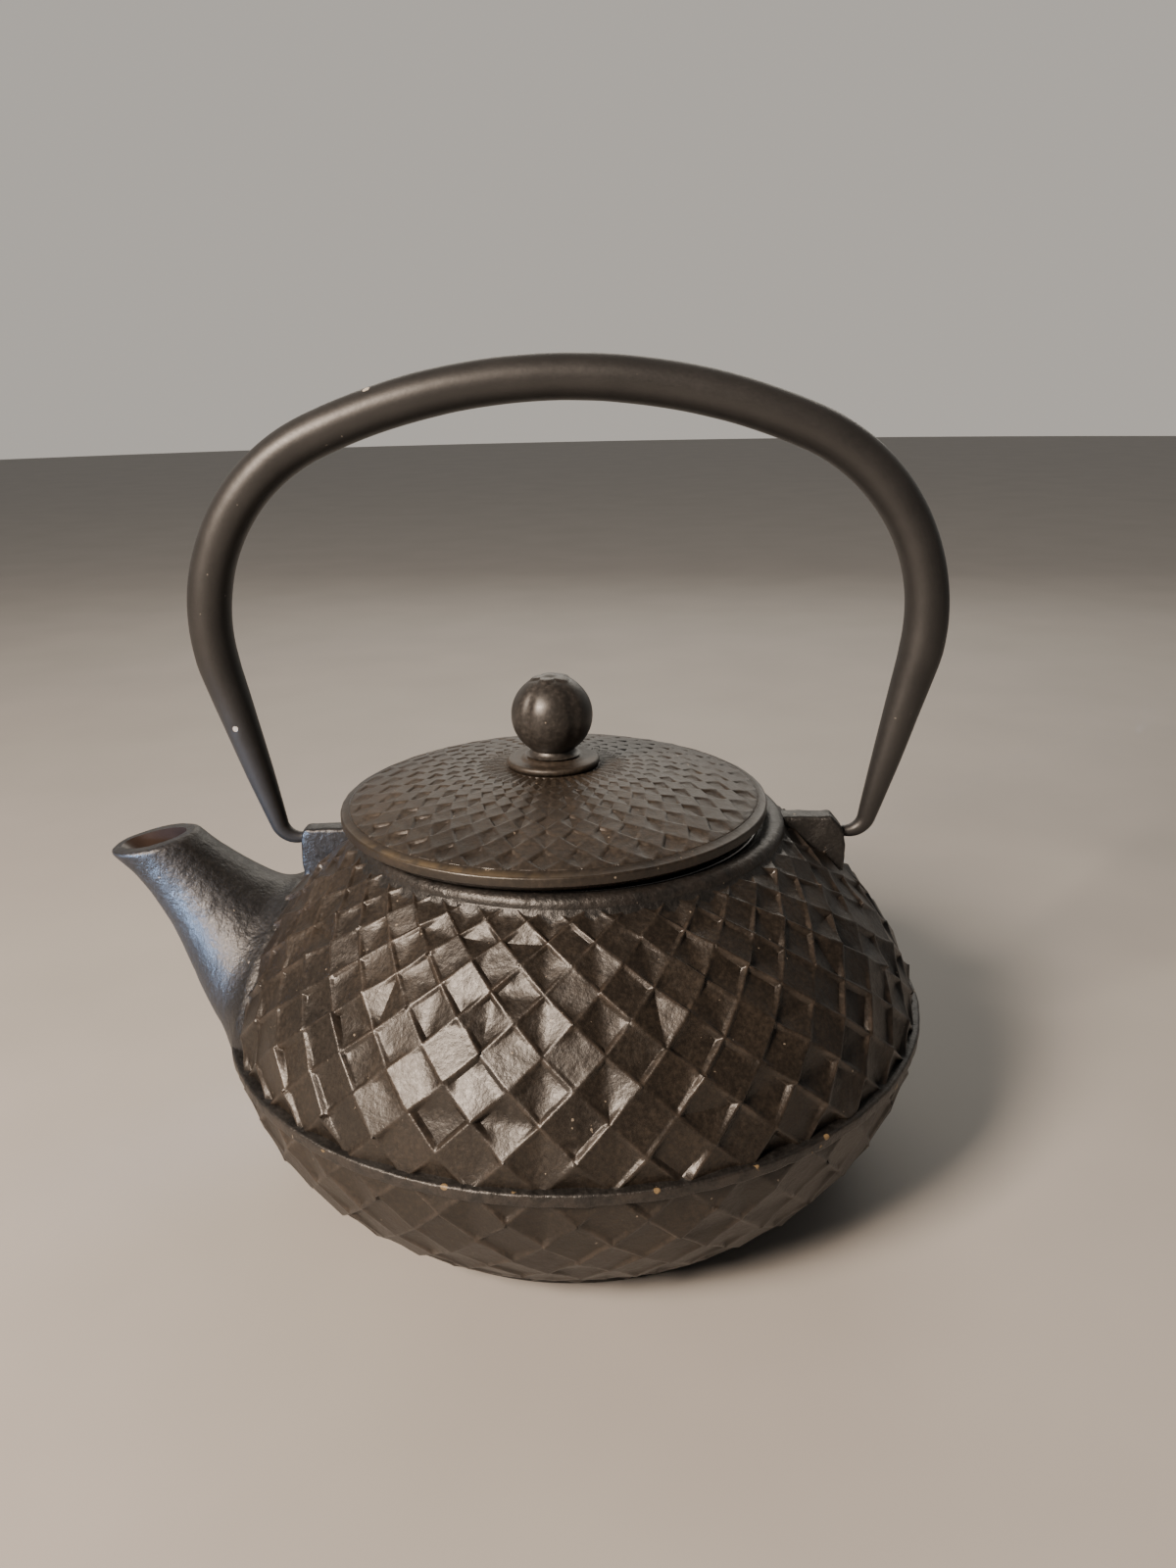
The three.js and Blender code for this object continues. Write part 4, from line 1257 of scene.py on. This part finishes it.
def infuser_base(material):
    """A cup-edged ring that grips the wire wall and the wire bottom."""
    outer, low, high = (BASE_HI[0] - BASE_LO[0]) / 2, BASE_LO[2], BASE_HI[2]
    inner = outer - 0.5
    profile = [(inner - 2.4, low + 0.1), (inner - 2.3, low)] + arc((outer - 0.5, low + 0.5), 0.5, -90, 0, 5)
    profile += [(outer, high - 0.1), (outer - 0.1, high), (inner + 0.1, high), (inner, high - 0.1)]
    profile += [(inner, low + 0.6), (inner - 0.1, low + 0.5), (inner - 2.4, low + 0.5)]
    return turned("infuser_base_ring", profile, 180, material)


# ------------------------------------------------------------------ build
relief_iron = cast_iron("relief_iron", warmth=1.1, grain=0.07, rust=True, gloss=0.43)
smooth_iron = cast_iron("smooth_iron", tone=0.8, warmth=0.2, grain=0.12, rust=True, gloss=0.46)
# The lid's tone is set lighter than the body's, partly as painted sheen from the pale wall behind.
lid_iron = cast_iron("lid_iron", tone=1.6, grain=0.05, gloss=0.47)
# The lid rim's iron carries the painted golden highlight.
lid_rim_iron = cast_iron("lid_rim_iron", tone=1.1, grain=0.035, painted_rim_glint=True, gloss=0.44)
knob_iron = cast_iron("knob_iron", tone=1.8, warmth=0.35, grain=0.012, gloss=0.42)
seat_iron = cast_iron("seat_iron", tone=1.7, warmth=1.0, grain=0.03, gloss=0.52)
stainless = steel("stainless_sheet", (0.62, 0.62, 0.61), 1.2, 0.20)
wire_steel = steel("stainless_wire", (0.56, 0.56, 0.55), 0.8, 0.26)
fastener = steel("plated_fastener", (0.42, 0.41, 0.39), 1.0, 0.30)

finish_piece(teapot_body(relief_iron, smooth_iron, enamel()), "pot", "cast_iron", "body")
finish_piece(handle_bar(handle_paint()), "bail", "handle_paint", "handle")
finish_piece(lid_casting(lid_iron, lid_rim_iron), "cover", "cast_iron", "lid")
finish_piece(knob(knob_iron), "cover", "knob_iron", "knob")
finish_piece(knob_seat(seat_iron), "cover", "knob_iron", "knob_seat")
finish_piece(knob_washer(fastener), "cover", "fastener_steel", "knob_washer")
finish_piece(knob_nut(fastener), "cover", "fastener_steel", "knob_nut")
finish_piece(infuser_collar(stainless), "strainer", "stainless", "infuser_collar")
finish_piece(infuser_base(stainless), "strainer", "stainless", "infuser_bottom_ring")
finish_piece(mesh_wall(wire_steel), "strainer", "stainless_mesh", "infuser_mesh_wall")
finish_piece(mesh_bottom(wire_steel), "strainer", "stainless_mesh", "infuser_bottom_mesh")


# ------------------------------------------------------------------ floor, light and camera
def add_floor():
    """A wide flat disc under the foot."""
    sides = 96
    turn = np.linspace(0, 2 * np.pi, sides, endpoint=False)
    disc = np.stack([FLOOR_R * np.cos(turn), FLOOR_R * np.sin(turn), np.zeros(sides)], -1)
    floor = make_object("floor", disc, [list(range(sides))])
    paint(floor, pale_floor())


def add_light(name, place, target, size, power, colour, spread=180):
    """A rectangular light at a place, aimed at a target. spread narrows its beam, in degrees."""
    lamp = bpy.data.lights.new(name, "AREA")
    lamp.spread = math.radians(spread)
    lamp.shape = "RECTANGLE"
    lamp.size, lamp.size_y = size[0] * MM, size[1] * MM
    lamp.energy = power
    lamp.color = colour
    holder = bpy.data.objects.new(name, lamp)
    holder.location = Vector(place) * MM
    way = (Vector(target) - Vector(place)).normalized()
    holder.rotation_mode = "QUATERNION"
    holder.rotation_quaternion = way.to_track_quat("-Z", "Y")
    bpy.context.scene.collection.objects.link(holder)


def add_world():
    """A pale wall behind the teapot and a dimmer room in front of it."""
    world = bpy.data.worlds.new("studio")
    bpy.context.scene.world = world
    world.use_nodes = True
    tree = world.node_tree
    back = tree.nodes["Background"]
    way = tree.nodes.new("ShaderNodeTexCoord")
    split = tree.nodes.new("ShaderNodeSeparateXYZ")
    ramp = tree.nodes.new("ShaderNodeValToRGB")
    tree.links.new(way.outputs["Generated"], split.inputs[0])
    tree.links.new(split.outputs["Y"], ramp.inputs["Fac"])
    tree.links.new(ramp.outputs["Color"], back.inputs["Color"])
    ramp.color_ramp.elements[0].position, ramp.color_ramp.elements[1].position = 0.15, 0.75
    ramp.color_ramp.elements[0].color = (0.085, 0.081, 0.077, 1)
    ramp.color_ramp.elements[1].color = (0.50, 0.465, 0.42, 1)


def add_camera():
    """The photograph's view, from in front and a little above."""
    pan, pitch, roll = (math.radians(a) for a in CAMERA_TURN)
    ahead = Vector((math.sin(pan) * math.cos(pitch), math.cos(pan) * math.cos(pitch), -math.sin(pitch)))
    right = Vector((math.cos(pan), -math.sin(pan), 0))
    up = right.cross(ahead)
    side = right * math.cos(roll) + up * math.sin(roll)
    top = -right * math.sin(roll) + up * math.cos(roll)
    lens = bpy.data.cameras.new("camera")
    lens.lens, lens.sensor_width = CAMERA_LENS, 36
    lens.clip_start, lens.clip_end = 0.01, 20
    camera = bpy.data.objects.new("camera", lens)
    turn = Matrix((side, top, -ahead)).transposed()
    camera.matrix_world = Matrix.Translation(Vector(CAMERA_PLACE) * MM) @ turn.to_4x4()
    bpy.context.scene.collection.objects.link(camera)
    bpy.context.scene.camera = camera


add_floor()
add_world()
add_light("key", (-455, -515, 520), (0, -30, 50), (230, 230), 17.5, (1.0, 0.81, 0.65))
add_light("window", (-310, -185, 80), (-94, -14, 52), (34, 90), 0.03, (0.40, 0.62, 1.0), 8)
add_light("back", (60, 620, 420), (0, 0, 80), (700, 300), 1.5, (1.0, 0.93, 0.82))
add_camera()
